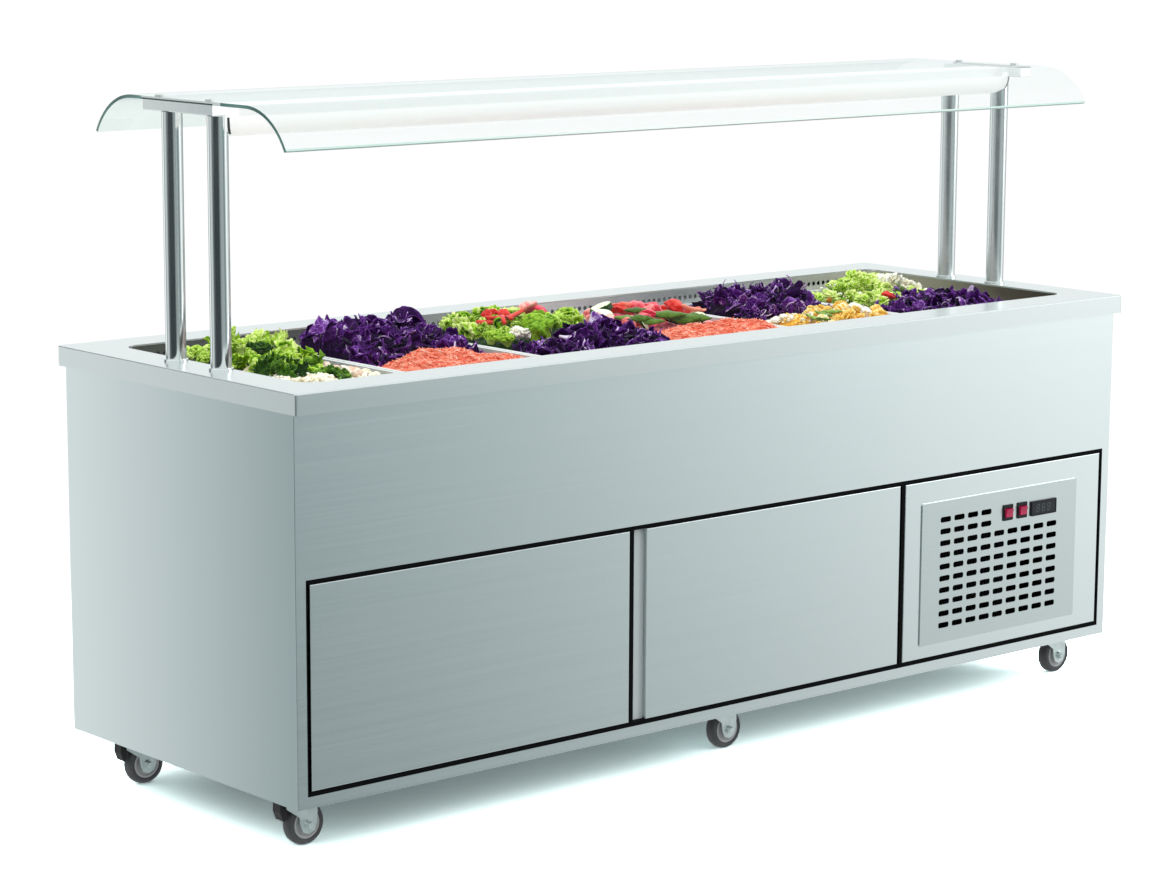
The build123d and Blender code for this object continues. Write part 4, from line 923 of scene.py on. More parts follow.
def frills(bag, rng, pos, radius, tint, deep=0.42, bands=(5.5, 8.5), flat=0.80):
    """Curly heads of leaf: an uneven lump whose skin runs in tight wandering frills."""
    for p in pos:
        R = rng.uniform(*radius)
        f = folds(rng, BALL_F, rng.uniform(*bands))
        g = folds(rng, BALL_F, rng.uniform(11, 15))
        lump = 0.20 * np.sin(2.2 * BALL_F @ rng.normal(0, 1, 3) + rng.uniform(0, 6)) + 0.12 * np.sin(4.4 * BALL_F @ rng.normal(0, 1, 3) + rng.uniform(0, 6))
        r = R * (1 - deep + deep * f ** 0.6 + 0.16 * (g - 0.5) * (0.35 + f) + lump)
        V = BALL_F * r[:, None] * np.array([rng.uniform(0.85, 1.35), rng.uniform(0.70, 1.05), flat])
        # painted shade: the frills are darker in their creases and lighter on their crests
        t = rng.uniform(*tint) + 0.62 * (f - 0.62) + 0.18 * (g - 0.5)
        bag.add(V @ spin(rng, 0.6).T + p, BALL_FF, t)


def florets(bag, rng, pos, radius, tint, buds=46):
    """Heads of small buds on a short stem, in one closed shape."""
    for p in pos:
        R = rng.uniform(*radius)
        i = np.arange(buds) + 0.5
        zz = 1 - i / buds * 1.25
        an = i * 2.39996 + rng.uniform(0, 6)
        cen = np.stack([np.sqrt(np.maximum(0, 1 - zz ** 2)) * np.cos(an), np.sqrt(np.maximum(0, 1 - zz ** 2)) * np.sin(an), zz], -1) + rng.normal(0, 0.07, (buds, 3))
        cen /= np.linalg.norm(cen, axis=1, keepdims=True)
        d = np.arccos(np.clip(BALL_L @ cen.T, -1, 1)).min(1)
        knob = np.sqrt(np.maximum(0, 1 - (d / 0.27) ** 2))
        lump = 0.10 * np.sin(3 * BALL_L[:, 0] + rng.uniform(0, 6)) * np.sin(3.4 * BALL_L[:, 1] + rng.uniform(0, 6))
        crown = np.clip((BALL_L[:, 2] + 0.25) / 0.4, 0, 1)
        r = R * (0.80 + 0.26 * knob * crown + lump)
        V = BALL_L * r[:, None]
        low = np.clip(-BALL_L[:, 2] - 0.05, 0, 1)
        V[:, :2] *= (1 - 0.62 * np.sqrt(low))[:, None]
        V[:, 2] *= np.where(BALL_L[:, 2] < 0, 1.35, 0.82)
        # painted shade between the buds: bud tops lighter, the gaps darker; the stem below is paler
        t = rng.uniform(*tint) + 0.56 * (knob - 0.62) * crown + 0.30 * (1 - crown)
        bag.add(V @ spin(rng, 0.55).T + p, BALL_LF, t)


def chunks(bag, rng, pos, size, tint, power=3.0, flat=0.7, long=1.0, bend=0.0, uneven=0.10):
    """Cut pieces with soft corners and uneven sides, some of them curved."""
    for p in pos:
        s = np.array([rng.uniform(*size) * long, rng.uniform(*size) * 0.85, rng.uniform(*size) * flat])
        k = (np.abs(BALL_M) ** power).sum(1) ** (-1 / power)
        V = BALL_M * k[:, None]
        ph = rng.uniform(0, 6, 3)
        V = V * (1 + uneven * np.sin(4 * V[:, [1, 2, 0]] + ph) + 0.5 * uneven * np.sin(7 * V[:, [2, 0, 1]] + 2 * ph)) * s
        V[:, 2] -= bend * (V[:, 0] ** 2 / max(s[0], 1e-6) - s[0] * 0.3)
        # painted light: the upper side of each piece is lighter, the lower side darker
        t = rng.uniform(*tint) + 0.14 * BALL_M[:, 2] + 0.06 * np.sin(9 * BALL_M[:, 0] + ph[0])
        bag.add(V @ spin(rng, 0.7 if bend or flat < 0.5 else 3.2).T + p, BALL_MF, t)


def grains(bag, rng, pos, size, tint):
    """Small crumbs."""
    n = len(pos)
    s = rng.uniform(*size, (n, 1, 3))
    V = BALL_S[None] * s * (1 + 0.18 * np.sin(5 * BALL_S[None][..., [1, 2, 0]] + rng.uniform(0, 6, (n, 1, 3)))) + pos[:, None]
    # painted light: each crumb is lighter on top and darker below
    T = np.repeat(rng.uniform(*tint, n), len(BALL_S)).reshape(n, -1) + 0.12 * BALL_S[None, :, 2]
    F = (BALL_SF[None] + (np.arange(n) * len(BALL_S))[:, None, None]).reshape(-1, 4)
    bag.add(V.reshape(-1, 3), F, T.reshape(-1))


def slices(bag, rng, pos, radius, tint, tilt=0.9, thick=(0.0018, 0.0026)):
    """Round slices with a darker rind."""
    for p in pos:
        R, h = rng.uniform(*radius), rng.uniform(*thick)
        rad = np.linalg.norm(BALL_M[:, :2], axis=1)
        k = (rad ** 6 + np.abs(BALL_M[:, 2]) ** 6) ** (-1 / 6)
        V = BALL_M * k[:, None]
        edge = np.linalg.norm(V[:, :2], axis=1)
        V = V * np.array([R, R, h])
        t = rng.uniform(*tint) + np.where(edge > 0.93, -0.75, 0.0)
        bag.add(V @ spin(rng, tilt).T + p, BALL_MF, t)


def pods(bag, rng, pos, length, width, tint, yaw=None):
    """Flat pointed pods with a faint bow."""
    for p in pos:
        L, w = rng.uniform(*length) / 2, rng.uniform(*width) / 2
        s = BALL_M[:, 0]
        taper = 1 - 0.50 * np.abs(s) ** 1.5
        V = np.stack([s * L * (1 + 0.12 * s ** 2), BALL_M[:, 1] * w * taper, BALL_M[:, 2] * w * 0.42 * taper], -1)
        V[:, 1] += rng.uniform(-0.16, 0.16) * L * (s ** 2 - 0.4)
        V[:, 2] += 0.0009 * np.cos(s * 9.0) * (np.abs(BALL_M[:, 2]) > 0.3) * np.sign(BALL_M[:, 2])
        # painted light: lighter on top and darker below, with a painted highlight along the side edges
        t = rng.uniform(*tint) + 0.16 * BALL_M[:, 2] + 0.12 * (np.abs(BALL_M[:, 1]) > 0.9)
        R = spin(rng, 0.45) if yaw is None else np.array(Matrix.Rotation(yaw + rng.uniform(-0.3, 0.3), 3, "Z") @ Matrix.Rotation(rng.uniform(0.1, 0.5), 3, "X"))
        bag.add(V @ R.T + p, BALL_MF, t)


PITCH_X = 0.329


class Zone:
    """One half of a pan: a mound between the pan's walls."""

    def __init__(self, k, side, bumps, edge=0.799, seed=0):
        self.cx = (k - 3.5) * PITCH_X
        self.side, self.bumps, self.edge = side, bumps, edge
        self.rng = np.random.default_rng(1000 + 17 * k + (7 if side > 0 else 0) + seed)
        self.ph = self.rng.uniform(0, 6.283, 6)

    def height(self, x, y):
        """Level of the mound at x, y counted from the pan's middle: the highest of its bumps (x, y, top, half width, half depth)."""
        h = np.zeros(np.shape(x))
        for bx, by, top, rx, ry in self.bumps:
            d = np.clip(((np.abs(x - bx) / rx) ** 2.3 + (np.abs(y - by) / ry) ** 2.3) ** (1 / 2.3), 0, 1)
            h = np.maximum(h, (top - self.edge) * (1 - d ** 2.2) ** 0.9)
        waves = 0.006 * np.sin(29 * x + self.ph[0]) * np.sin(33 * y + self.ph[1]) + 0.005 * np.sin(61 * x + self.ph[2]) * np.sin(57 * y + self.ph[3])
        return self.edge + h + waves * np.clip(h / 0.02, 0, 1)

    def spread(self, n, margin=0.008, lift=(-0.004, 0.004), box=(-1, 1, 0, 1)):
        """n points over the mound; box bounds them as shares of the pan's half width and depth, or lists their places."""
        if isinstance(box, list):
            p = np.array(box, float)
            x, y = p[:, 0] * 0.15, p[:, 1]
            return np.stack([x + self.cx, y, self.height(x, y) + self.rng.uniform(*lift, len(x))], -1)
        hx, hy = 0.143 - margin, 0.243 - margin
        x = self.rng.uniform(max(box[0] * 0.15, -hx), min(box[1] * 0.15, hx), n)
        y = self.rng.uniform(max(box[2] * 0.245, 0.004), min(box[3] * 0.245, hy), n) * self.side
        cxr, cyr = hx - 0.034, hy - 0.034
        qx, qy = np.maximum(np.abs(x) - cxr, 0), np.maximum(np.abs(y) - cyr, 0)
        d = np.hypot(qx, qy)
        over = np.where(d > 0.034, 0.034 / np.maximum(d, 1e-9), 1.0)
        x = np.sign(x) * (np.minimum(np.abs(x), cxr) + qx * over)
        y = np.sign(y) * (np.minimum(np.abs(y), cyr) + qy * over)
        z = self.height(x, y) + self.rng.uniform(*lift, n)
        return np.stack([x + self.cx, y, z], -1)

    def bed(self, bag, drop, tint, nx=58, ny=50, rough=0.0030):
        """Solid filling under the scraps, from inside the pan up to just below the mound; its dark tint is painted
        shade in the gaps between them, with lighter ripple crests.
        """
        x = np.linspace(-0.143, 0.143, nx)
        y = np.linspace(0.001, 0.243, ny) * self.side
        X, Y = np.meshgrid(x, y, indexing="ij")
        R = 0.036
        cxr, cyr = 0.143 - R, 0.243 - R
        qx, qy = np.maximum(np.abs(X) - cxr, 0), np.maximum(np.abs(Y) - cyr, 0)
        d = np.hypot(qx, qy)
        over = np.where(d > R, R / np.maximum(d, 1e-9), 1.0)
        X = np.sign(X) * (np.minimum(np.abs(X), cxr) + qx * over)
        Y = np.sign(Y) * (np.minimum(np.abs(Y), cyr) + qy * over)
        ripple = np.sin(310 * X + 4 * np.sin(90 * Y + self.ph[4])) * np.sin(290 * Y + 4 * np.sin(80 * X + self.ph[5]))
        Z = self.height(X, Y) - drop + rough * ripple + self.rng.normal(0, 0.3 * rough, X.shape)
        top = np.stack([X + self.cx, Y, Z], -1).reshape(-1, 3)
        low = top.copy()
        low[:, 2] = 0.70
        f = sheet_faces(nx, ny)
        if self.side > 0:
            f = f[:, ::-1]
        t = tint + 0.16 * ripple.reshape(-1)
        bag.add(np.concatenate([top, low]), f, np.concatenate([t, t]))


def cabbage(k, side, bumps, seed=0, big=190, small=110, fine=70, curls=0, ribs=(), wide=()):
    z = Zone(k, side, bumps, 0.799, seed)
    bag = Bag()
    # painted shade: a dark bed under the cabbage
    z.bed(bag, 0.009, 0.16)
    shards(bag, z.rng, z.spread(big, 0.010, (-0.006, 0.002)), (0.012, 0.026), (0.06, 0.56), 0.65, (0.0010, 0.0018), 0.22, 0.24)
    shards(bag, z.rng, z.spread(small, 0.010, (-0.003, 0.002)), (0.007, 0.012), (0.12, 0.62), 0.8, (0.0010, 0.0016), 0.18, 0.24)
    if wide:
        shards(bag, z.rng, z.spread(0, 0.0, (-0.001, 0.003), list(wide)), (0.026, 0.036), (0.34, 0.50), 0.35, (0.0012, 0.0018), 0.5, 0.24)
    ribbons(bag, z.rng, z.spread(fine, 0.014, (-0.002, 0.003)), (0.016, 0.036), (0.0018, 0.0036), (0.0009, 0.0016), (14, 80), 2.4, 8, 0.45, (0.36, 0.74), 0.14)
    if curls:
        ribbons(bag, z.rng, z.spread(curls, 0.022, (-0.002, 0.003)), (0.040, 0.075), (0.0022, 0.0042), (0.0010, 0.0016), (60, 130), 2.8, 16, 0.5, (0.36, 0.80), 0.12)
    if ribs:
        ribbons(bag, z.rng, z.spread(0, 0.0, (0.002, 0.006), list(ribs)), (0.030, 0.046), (0.0085, 0.0130), (0.0030, 0.0042), (8, 22), 0.8, 10, 0.9, (0.92, 1.0), 0.0)
    return bag.build(f"cabbage_{k}_{'back' if side > 0 else 'front'}", FOOD["cabbage"], f"pan_{k}", z.cx)


def grated(k, side, bumps, seed=0):
    z = Zone(k, side, bumps, 0.801, seed)
    bag = Bag()
    # painted shade: a darker bed under the grated root
    z.bed(bag, 0.003, 0.45, 84, 70, 0.0022)
    ribbons(bag, z.rng, z.spread(2600, 0.009, (-0.002, 0.0018)), (0.006, 0.015), (0.0015, 0.0026), (0.0012, 0.0019), (6, 80), 1.6, 4, 0.30, (0.40, 0.80), 0.06)
    return bag.build(f"grated_{k}", FOOD["grated"], f"pan_{k}", z.cx)


MAKERS = {"leaves": leaves, "florets": florets, "frills": frills, "chunks": chunks, "slices": slices, "pods": pods, "ribbons": ribbons, "shards": shards, "grains": grains}


def mixed(k, side, bumps, seed, parts, edge=0.799, bed_mat="leaf", shade_bed_tint=0.3, drop=0.012):
    """A mixed salad: a bed, then heads, leaves, strips, slices and cuts, each food as its own piece."""
    z = Zone(k, side, bumps, edge, seed)
    where = "back" if side > 0 else "front"
    bag = Bag()
    z.bed(bag, drop, shade_bed_tint)
    made = {bed_mat: bag}
    for kind, n, box, kw in parts:
        kw = dict(kw)
        pts = z.spread(n, kw.pop("margin", 0.022), kw.pop("lift", (-0.006, 0.002)), box)
        MAKERS[kind](made.setdefault(kw.pop("mat"), Bag()), z.rng, pts, **kw)
    for mat, b in made.items():
        b.build(f"{mat}_{k}_{where}", FOOD[mat], f"pan_{k}", z.cx)


ALL = (-1, 1, 0, 1)
STRIP = dict(length=(0.034, 0.052), width=(0.008, 0.012), thick=(0.003, 0.0045), curl=(8, 30), twist=0.6, seg=8, tilt=0.2, edge=0.08)
CURLY = dict(length=(0.040, 0.060), width=(0.012, 0.018), ruffle=(0.005, 0.008), waves=(3.5, 6.0), bend=(-0.35, 0.10), tilt=(0.5, 0.5))

# column 1: curly lettuce and pale florets behind, dark curls in front, beige crumbs along the near edge, low at the right
mixed(1, 1, [(-0.045, 0.10, 0.845, 0.155, 0.155), (0.02, 0.10, 0.848, 0.09, 0.10)], 3, [
    ("florets", 14, (-1, -0.25, 0.05, 0.95), dict(mat="broccoli", radius=(0.012, 0.018), tint=(0.66, 0.92))),
    ("frills", 26, (-0.9, 0.75, 0.0, 0.95), dict(mat="lettuce", radius=(0.013, 0.022), tint=(0.48, 0.80))),
    ("frills", 1, [(0.0, 0.12)], dict(mat="lettuce", radius=(0.026, 0.027), tint=(0.78, 0.80), lift=(0.002, 0.003))),
    ("frills", 4, [(-0.12, 0.055), (-0.22, 0.03), (-0.05, 0.04), (-0.2, 0.075)], dict(mat="leaf", radius=(0.014, 0.019), tint=(0.42, 0.66), lift=(0.002, 0.006))),
    ("frills", 4, [(0.05, 0.01), (-0.05, 0.0), (0.16, 0.03), (0.25, 0.06)], dict(mat="lettuce", radius=(0.018, 0.023), tint=(0.62, 0.76), lift=(0.0, 0.004))),
    ("leaves", 12, (-0.9, 0.5, 0.0, 0.8), dict(mat="lettuce", tint=(0.45, 0.8), lift=(0.004, 0.010), **CURLY)),
])
mixed(1, -1, [(-0.055, -0.05, 0.838, 0.11, 0.12), (-0.075, -0.14, 0.828, 0.085, 0.10), (0.04, -0.12, 0.812, 0.10, 0.09)], 5, [
    ("grains", 900, (-1, 0.5, 0.4, 1), dict(mat="cauliflower", size=(0.0025, 0.0048), tint=(0.35, 0.9), margin=0.010, lift=(-0.002, 0.004))),
    ("grains", 160, (0.2, 1, 0.3, 1), dict(mat="cauliflower", size=(0.0025, 0.0048), tint=(0.35, 0.8), margin=0.010, lift=(-0.002, 0.002))),
    ("frills", 16, (-0.85, 0.1, 0.0, 0.5), dict(mat="lettuce", radius=(0.013, 0.020), tint=(0.36, 0.72))),
    ("frills", 12, [(-0.25, -0.08), (-0.40, -0.07), (-0.1, -0.085), (-0.55, -0.08), (-0.68, -0.10), (-0.5, -0.11), (0.06, -0.12), (-0.05, -0.125), (0.16, -0.13), (-0.3, -0.12), (-0.15, -0.14), (0.1, -0.15)], dict(mat="leaf", radius=(0.012, 0.018), tint=(0.40, 0.75), lift=(0.0, 0.005))),
    ("leaves", 10, (-0.8, 0.2, 0.1, 0.65), dict(mat="leaf", tint=(0.35, 0.75), lift=(0.003, 0.008), **CURLY)),
    ("chunks", 8, [(0.2, -0.10), (0.32, -0.09), (0.43, -0.085), (0.26, -0.125), (0.38, -0.115), (0.15, -0.09), (0.3, -0.15), (0.48, -0.11)], dict(mat="prawn", size=(0.010, 0.015), tint=(0.4, 0.95), power=2.2, lift=(0.0, 0.006))),
    ("florets", 4, [(0.55, -0.12), (0.64, -0.11), (0.58, -0.15), (0.70, -0.135)], dict(mat="cauliflower", radius=(0.010, 0.013), tint=(0.6, 0.85), buds=36)),
], edge=0.797, bed_mat="cauliflower", shade_bed_tint=0.45, drop=0.006)
# column 2: a broad heap of cabbage, grated root in front
cabbage(2, 1, [(-0.055, 0.165, 0.852, 0.16, 0.145), (-0.02, 0.13, 0.856, 0.14, 0.13), (0.012, 0.115, 0.861, 0.10, 0.10), (0.03, 0.10, 0.840, 0.125, 0.12)], 0, 280, 140, 80, 0, [(-0.35, 0.09)], [(-0.92, 0.20), (-0.78, 0.18), (-0.62, 0.17), (-0.88, 0.13), (-0.7, 0.11), (-0.5, 0.14), (-0.82, 0.07), (0.0, 0.13), (0.3, 0.12)])
grated(2, -1, [(-0.035, -0.115, 0.833, 0.125, 0.125), (0.03, -0.13, 0.818, 0.12, 0.115)])
# column 3: lettuce, broccoli, red rings, cauliflower; cabbage with white ribs in front
mixed(3, 1, [(-0.03, 0.165, 0.843, 0.165, 0.14), (-0.01, 0.13, 0.846, 0.16, 0.14), (-0.07, 0.06, 0.832, 0.09, 0.10), (0.0, 0.05, 0.834, 0.12, 0.09)], 11, [
    ("frills", 22, (-1, 1, 0.25, 1), dict(mat="lettuce", radius=(0.013, 0.020), tint=(0.42, 0.76))),
    ("florets", 6, (-1, -0.3, 0.1, 0.8), dict(mat="broccoli", radius=(0.012, 0.017), tint=(0.70, 0.95))),
    ("frills", 7, [(-0.92, 0.17), (-0.84, 0.20), (-0.70, 0.21), (-0.5, 0.215), (-0.25, 0.215), (-0.95, 0.13), (0.05, 0.21)], dict(mat="lettuce", radius=(0.016, 0.021), tint=(0.50, 0.76), lift=(0.0, 0.004))),
    ("frills", 9, [(-0.88, 0.12), (-0.85, 0.15), (-0.7, 0.16), (-0.45, 0.17), (0.0, 0.16), (0.2, 0.17), (0.78, 0.10), (0.72, 0.12), (0.85, 0.13)], dict(mat="lettuce", radius=(0.017, 0.022), tint=(0.62, 0.84), lift=(0.0, 0.004))),
    ("florets", 3, [(-0.13, 0.06), (-0.40, 0.01), (-0.2, 0.02)], dict(mat="broccoli", radius=(0.023, 0.028), tint=(0.52, 0.66), buds=60, lift=(0.0, 0.004))),
    ("florets", 3, [(0.08, 0.075), (0.02, 0.055), (0.16, 0.06)], dict(mat="broccoli", radius=(0.014, 0.017), tint=(0.56, 0.72), buds=40, lift=(0.002, 0.006))),
    ("frills", 4, [(0.80, 0.115), (0.88, 0.105), (0.84, 0.14), (0.92, 0.13)], dict(mat="lettuce", radius=(0.018, 0.023), tint=(0.66, 0.84), lift=(0.010, 0.016))),
    ("florets", 7, [(-0.9, 0.05), (-0.8, 0.02), (-0.72, 0.07), (-0.6, 0.04), (0.25, 0.03), (0.42, 0.06), (0.5, 0.10)], dict(mat="broccoli", radius=(0.013, 0.018), tint=(0.62, 0.88))),
    ("frills", 3, [(-0.65, 0.02), (-0.56, 0.012), (-0.60, 0.035)], dict(mat="cauliflower", radius=(0.012, 0.015), tint=(0.80, 1.0), lift=(0.0, 0.004))),
    ("ribbons", 5, [(-0.74, 0.10), (-0.62, 0.095), (-0.50, 0.09), (-0.38, 0.09), (-0.26, 0.095)], dict(mat="red", tint=(0.45, 0.72), lift=(0.012, 0.017), **dict(STRIP, width=(0.011, 0.015), thick=(0.006, 0.008)))),
    ("chunks", 3, [(-0.60, 0.12), (-0.34, 0.115), (-0.45, 0.13)], dict(mat="red", size=(0.011, 0.015), tint=(0.40, 0.65), power=2.2, flat=0.6, lift=(0.010, 0.014))),
    ("chunks", 5, [(0.36, 0.175), (0.48, 0.185), (0.60, 0.18), (0.71, 0.17), (0.54, 0.16)], dict(mat="pink", size=(0.016, 0.021), tint=(0.50, 0.85), power=2.3, flat=0.5, long=1.2, bend=0.2, lift=(0.013, 0.017))),
])
cabbage(3, -1, [(0.012, -0.115, 0.845, 0.135, 0.12), (-0.03, -0.13, 0.830, 0.12, 0.11)], 2, 190, 110, 70, 0, [(-0.60, -0.09), (-0.34, -0.075), (-0.5, -0.11)], [(-0.2, -0.1), (0.1, -0.1), (0.35, -0.13), (0.5, -0.09)])
# column 4: red and pink wedges, cucumber, pods; grated root in front
mixed(4, 1, [(-0.05, 0.11, 0.832, 0.13, 0.14), (0.05, 0.10, 0.822, 0.11, 0.13)], 21, [
    ("chunks", 14, ALL, dict(mat="pink", size=(0.012, 0.018), tint=(0.45, 0.90), power=2.2, flat=0.55, long=1.2, bend=0.25, uneven=0.2)),
    ("chunks", 4, [(-0.97, 0.10), (-0.9, 0.13), (-0.94, 0.07), (-0.8, 0.16)], dict(mat="pink", size=(0.013, 0.017), tint=(0.7, 0.95), power=2.3, flat=0.5, lift=(0.004, 0.008))),
    ("slices", 3, [(-0.80, 0.12), (-0.70, 0.135), (-0.86, 0.105)], dict(mat="cucumber", radius=(0.021, 0.025), tint=(0.88, 1.0), thick=(0.006, 0.009), tilt=0.35, lift=(0.008, 0.012))),
    ("chunks", 6, [(-0.39, 0.12), (-0.28, 0.13), (-0.5, 0.125), (0.51, 0.12), (0.40, 0.125), (0.45, 0.10)], dict(mat="red", size=(0.015, 0.021), tint=(0.48, 0.78), power=2.1, flat=0.5, long=1.3, bend=0.4, uneven=0.2, lift=(0.006, 0.011))),
    ("chunks", 5, [(-0.05, 0.10), (0.08, 0.105), (-0.15, 0.12), (-0.42, 0.05), (-0.30, 0.055)], dict(mat="pink", size=(0.015, 0.021), tint=(0.38, 0.66), power=2.1, flat=0.55, long=1.2, bend=0.25, uneven=0.2, lift=(0.004, 0.009))),
    ("ribbons", 5, [(0.64, 0.08), (0.72, 0.085), (0.58, 0.07), (0.68, 0.065), (0.6, 0.09)], dict(mat="red", tint=(0.82, 0.98), lift=(0.006, 0.010), **STRIP)),
    ("pods", 4, [(-0.73, 0.05), (-0.62, 0.03), (-0.35, 0.085), (-0.5, 0.02)], dict(mat="pod", length=(0.050, 0.064), width=(0.020, 0.025), tint=(0.28, 0.50), yaw=-0.7, lift=(0.006, 0.010))),
    ("pods", 3, [(-0.16, 0.025), (0.24, 0.012), (0.05, 0.008)], dict(mat="pod", length=(0.068, 0.080), width=(0.030, 0.036), tint=(0.36, 0.56), yaw=-0.7, lift=(0.011, 0.014))),
    ("slices", 5, [(0.0, 0.04), (0.12, 0.03), (0.45, 0.03), (-0.55, 0.03), (0.55, 0.045)], dict(mat="cucumber", radius=(0.015, 0.019), tint=(0.80, 0.95), thick=(0.003, 0.005))),
], edge=0.797, bed_mat="pink", shade_bed_tint=0.30)
grated(4, -1, [(0.03, -0.12, 0.828, 0.125, 0.12), (-0.06, -0.12, 0.820, 0.10, 0.115)], 1)
# column 5: curled cabbage in two tufts, yellow fruit in front
cabbage(5, 1, [(-0.082, 0.115, 0.848, 0.070, 0.10), (0.045, 0.115, 0.850, 0.075, 0.10), (-0.02, 0.08, 0.826, 0.13, 0.10), (-0.04, 0.05, 0.816, 0.12, 0.08)], 4, 210, 140, 80, 200)
mixed(5, -1, [(-0.015, -0.115, 0.829, 0.14, 0.12), (0.07, -0.12, 0.818, 0.08, 0.10)], 31, [
    ("frills", 30, (-0.85, 1, 0.05, 1), dict(mat="yellow", radius=(0.010, 0.016), tint=(0.46, 0.82), deep=0.3, lift=(-0.002, 0.004))),
    ("grains", 420, ALL, dict(mat="yellow", size=(0.0024, 0.0044), tint=(0.45, 0.80), margin=0.012)),
    ("grains", 60, (-1, -0.2, 0.0, 0.6), dict(mat="cauliflower", size=(0.0030, 0.0050), tint=(0.40, 0.75), margin=0.012)),
    ("florets", 5, [(-0.96, -0.05), (-0.85, -0.04), (-0.9, -0.07), (-0.78, -0.05), (-0.82, -0.08)], dict(mat="cauliflower", radius=(0.008, 0.011), tint=(0.88, 1.0), buds=30, lift=(0.0, 0.004))),
    ("florets", 6, [(0.26, -0.12), (0.35, -0.11), (0.2, -0.14), (0.42, -0.13), (0.5, -0.12), (0.3, -0.155)], dict(mat="cauliflower", radius=(0.011, 0.015), tint=(0.85, 1.0), buds=36, lift=(0.0, 0.004))),
    ("pods", 4, [(-0.70, -0.15), (-0.55, -0.155), (-0.42, -0.16), (-0.62, -0.17)], dict(mat="pod", length=(0.036, 0.050), width=(0.014, 0.018), tint=(0.55, 0.8), lift=(0.006, 0.009))),
], bed_mat="yellow", shade_bed_tint=0.42, drop=0.006)
# column 6: pale lettuce and cauliflower, cabbage in front
mixed(6, 1, [(0.02, 0.155, 0.838, 0.15, 0.11), (-0.05, 0.12, 0.822, 0.12, 0.12), (0.05, 0.09, 0.812, 0.11, 0.10)], 41, [
    ("frills", 30, ALL, dict(mat="lettuce", radius=(0.013, 0.021), tint=(0.74, 1.0), deep=0.34)),
    ("frills", 6, [(-0.9, 0.14), (-0.8, 0.11), (-0.75, 0.17), (-0.65, 0.08), (-0.5, 0.06), (-0.85, 0.2)], dict(mat="lettuce", radius=(0.012, 0.016), tint=(0.90, 1.0), deep=0.3)),
    ("frills", 7, [(0.0, 0.15), (0.15, 0.155), (-0.15, 0.15), (-0.38, 0.10), (-0.25, 0.11), (0.3, 0.15), (-0.5, 0.13)], dict(mat="lettuce", radius=(0.018, 0.023), tint=(0.66, 0.86), lift=(0.0, 0.004))),
    ("frills", 8, [(0.45, 0.15), (0.6, 0.14), (0.72, 0.13), (0.85, 0.12), (0.52, 0.12), (0.66, 0.10), (0.8, 0.09), (0.4, 0.13)], dict(mat="cauliflower", radius=(0.015, 0.020), tint=(0.78, 1.0), lift=(0.0, 0.005))),
    ("florets", 4, [(0.92, 0.11), (0.95, 0.08), (0.88, 0.06), (0.9, 0.14)], dict(mat="cauliflower", radius=(0.013, 0.016), tint=(0.85, 1.0), buds=36, lift=(0.0, 0.004))),
    ("grains", 50, (-1, -0.3, 0.1, 0.8), dict(mat="cauliflower", size=(0.002, 0.004), tint=(0.55, 0.95), margin=0.012)),
    ("chunks", 1, [(-0.16, 0.035)], dict(mat="red", size=(0.010, 0.011), tint=(0.5, 0.6), power=2.0, flat=1.5, uneven=0.16, lift=(0.008, 0.009))),
    ("chunks", 2, [(-0.93, 0.10), (-0.85, 0.11)], dict(mat="yellow", size=(0.006, 0.008), tint=(-0.2, 0.0), power=2.2, lift=(0.003, 0.005))),
    ("shards", 16, [(0.15, 0.06), (0.22, 0.055), (0.3, 0.05), (0.1, 0.045), (0.25, 0.07), (0.36, 0.06), (0.42, 0.045), (0.2, 0.03), (0.3, 0.03), (0.05, 0.03), (0.5, 0.05), (0.46, 0.03), (-0.05, 0.03), (0.58, 0.04), (0.4, 0.02), (0.12, 0.02)], dict(mat="cabbage", size=(0.008, 0.013), tint=(0.1, 0.5), lift=(0.002, 0.008))),
], bed_mat="lettuce", shade_bed_tint=0.42)
cabbage(6, -1, [(0.018, -0.10, 0.832, 0.115, 0.115), (-0.05, -0.11, 0.818, 0.09, 0.10)], 6, 180, 120, 70, 50, [(0.45, -0.12)])


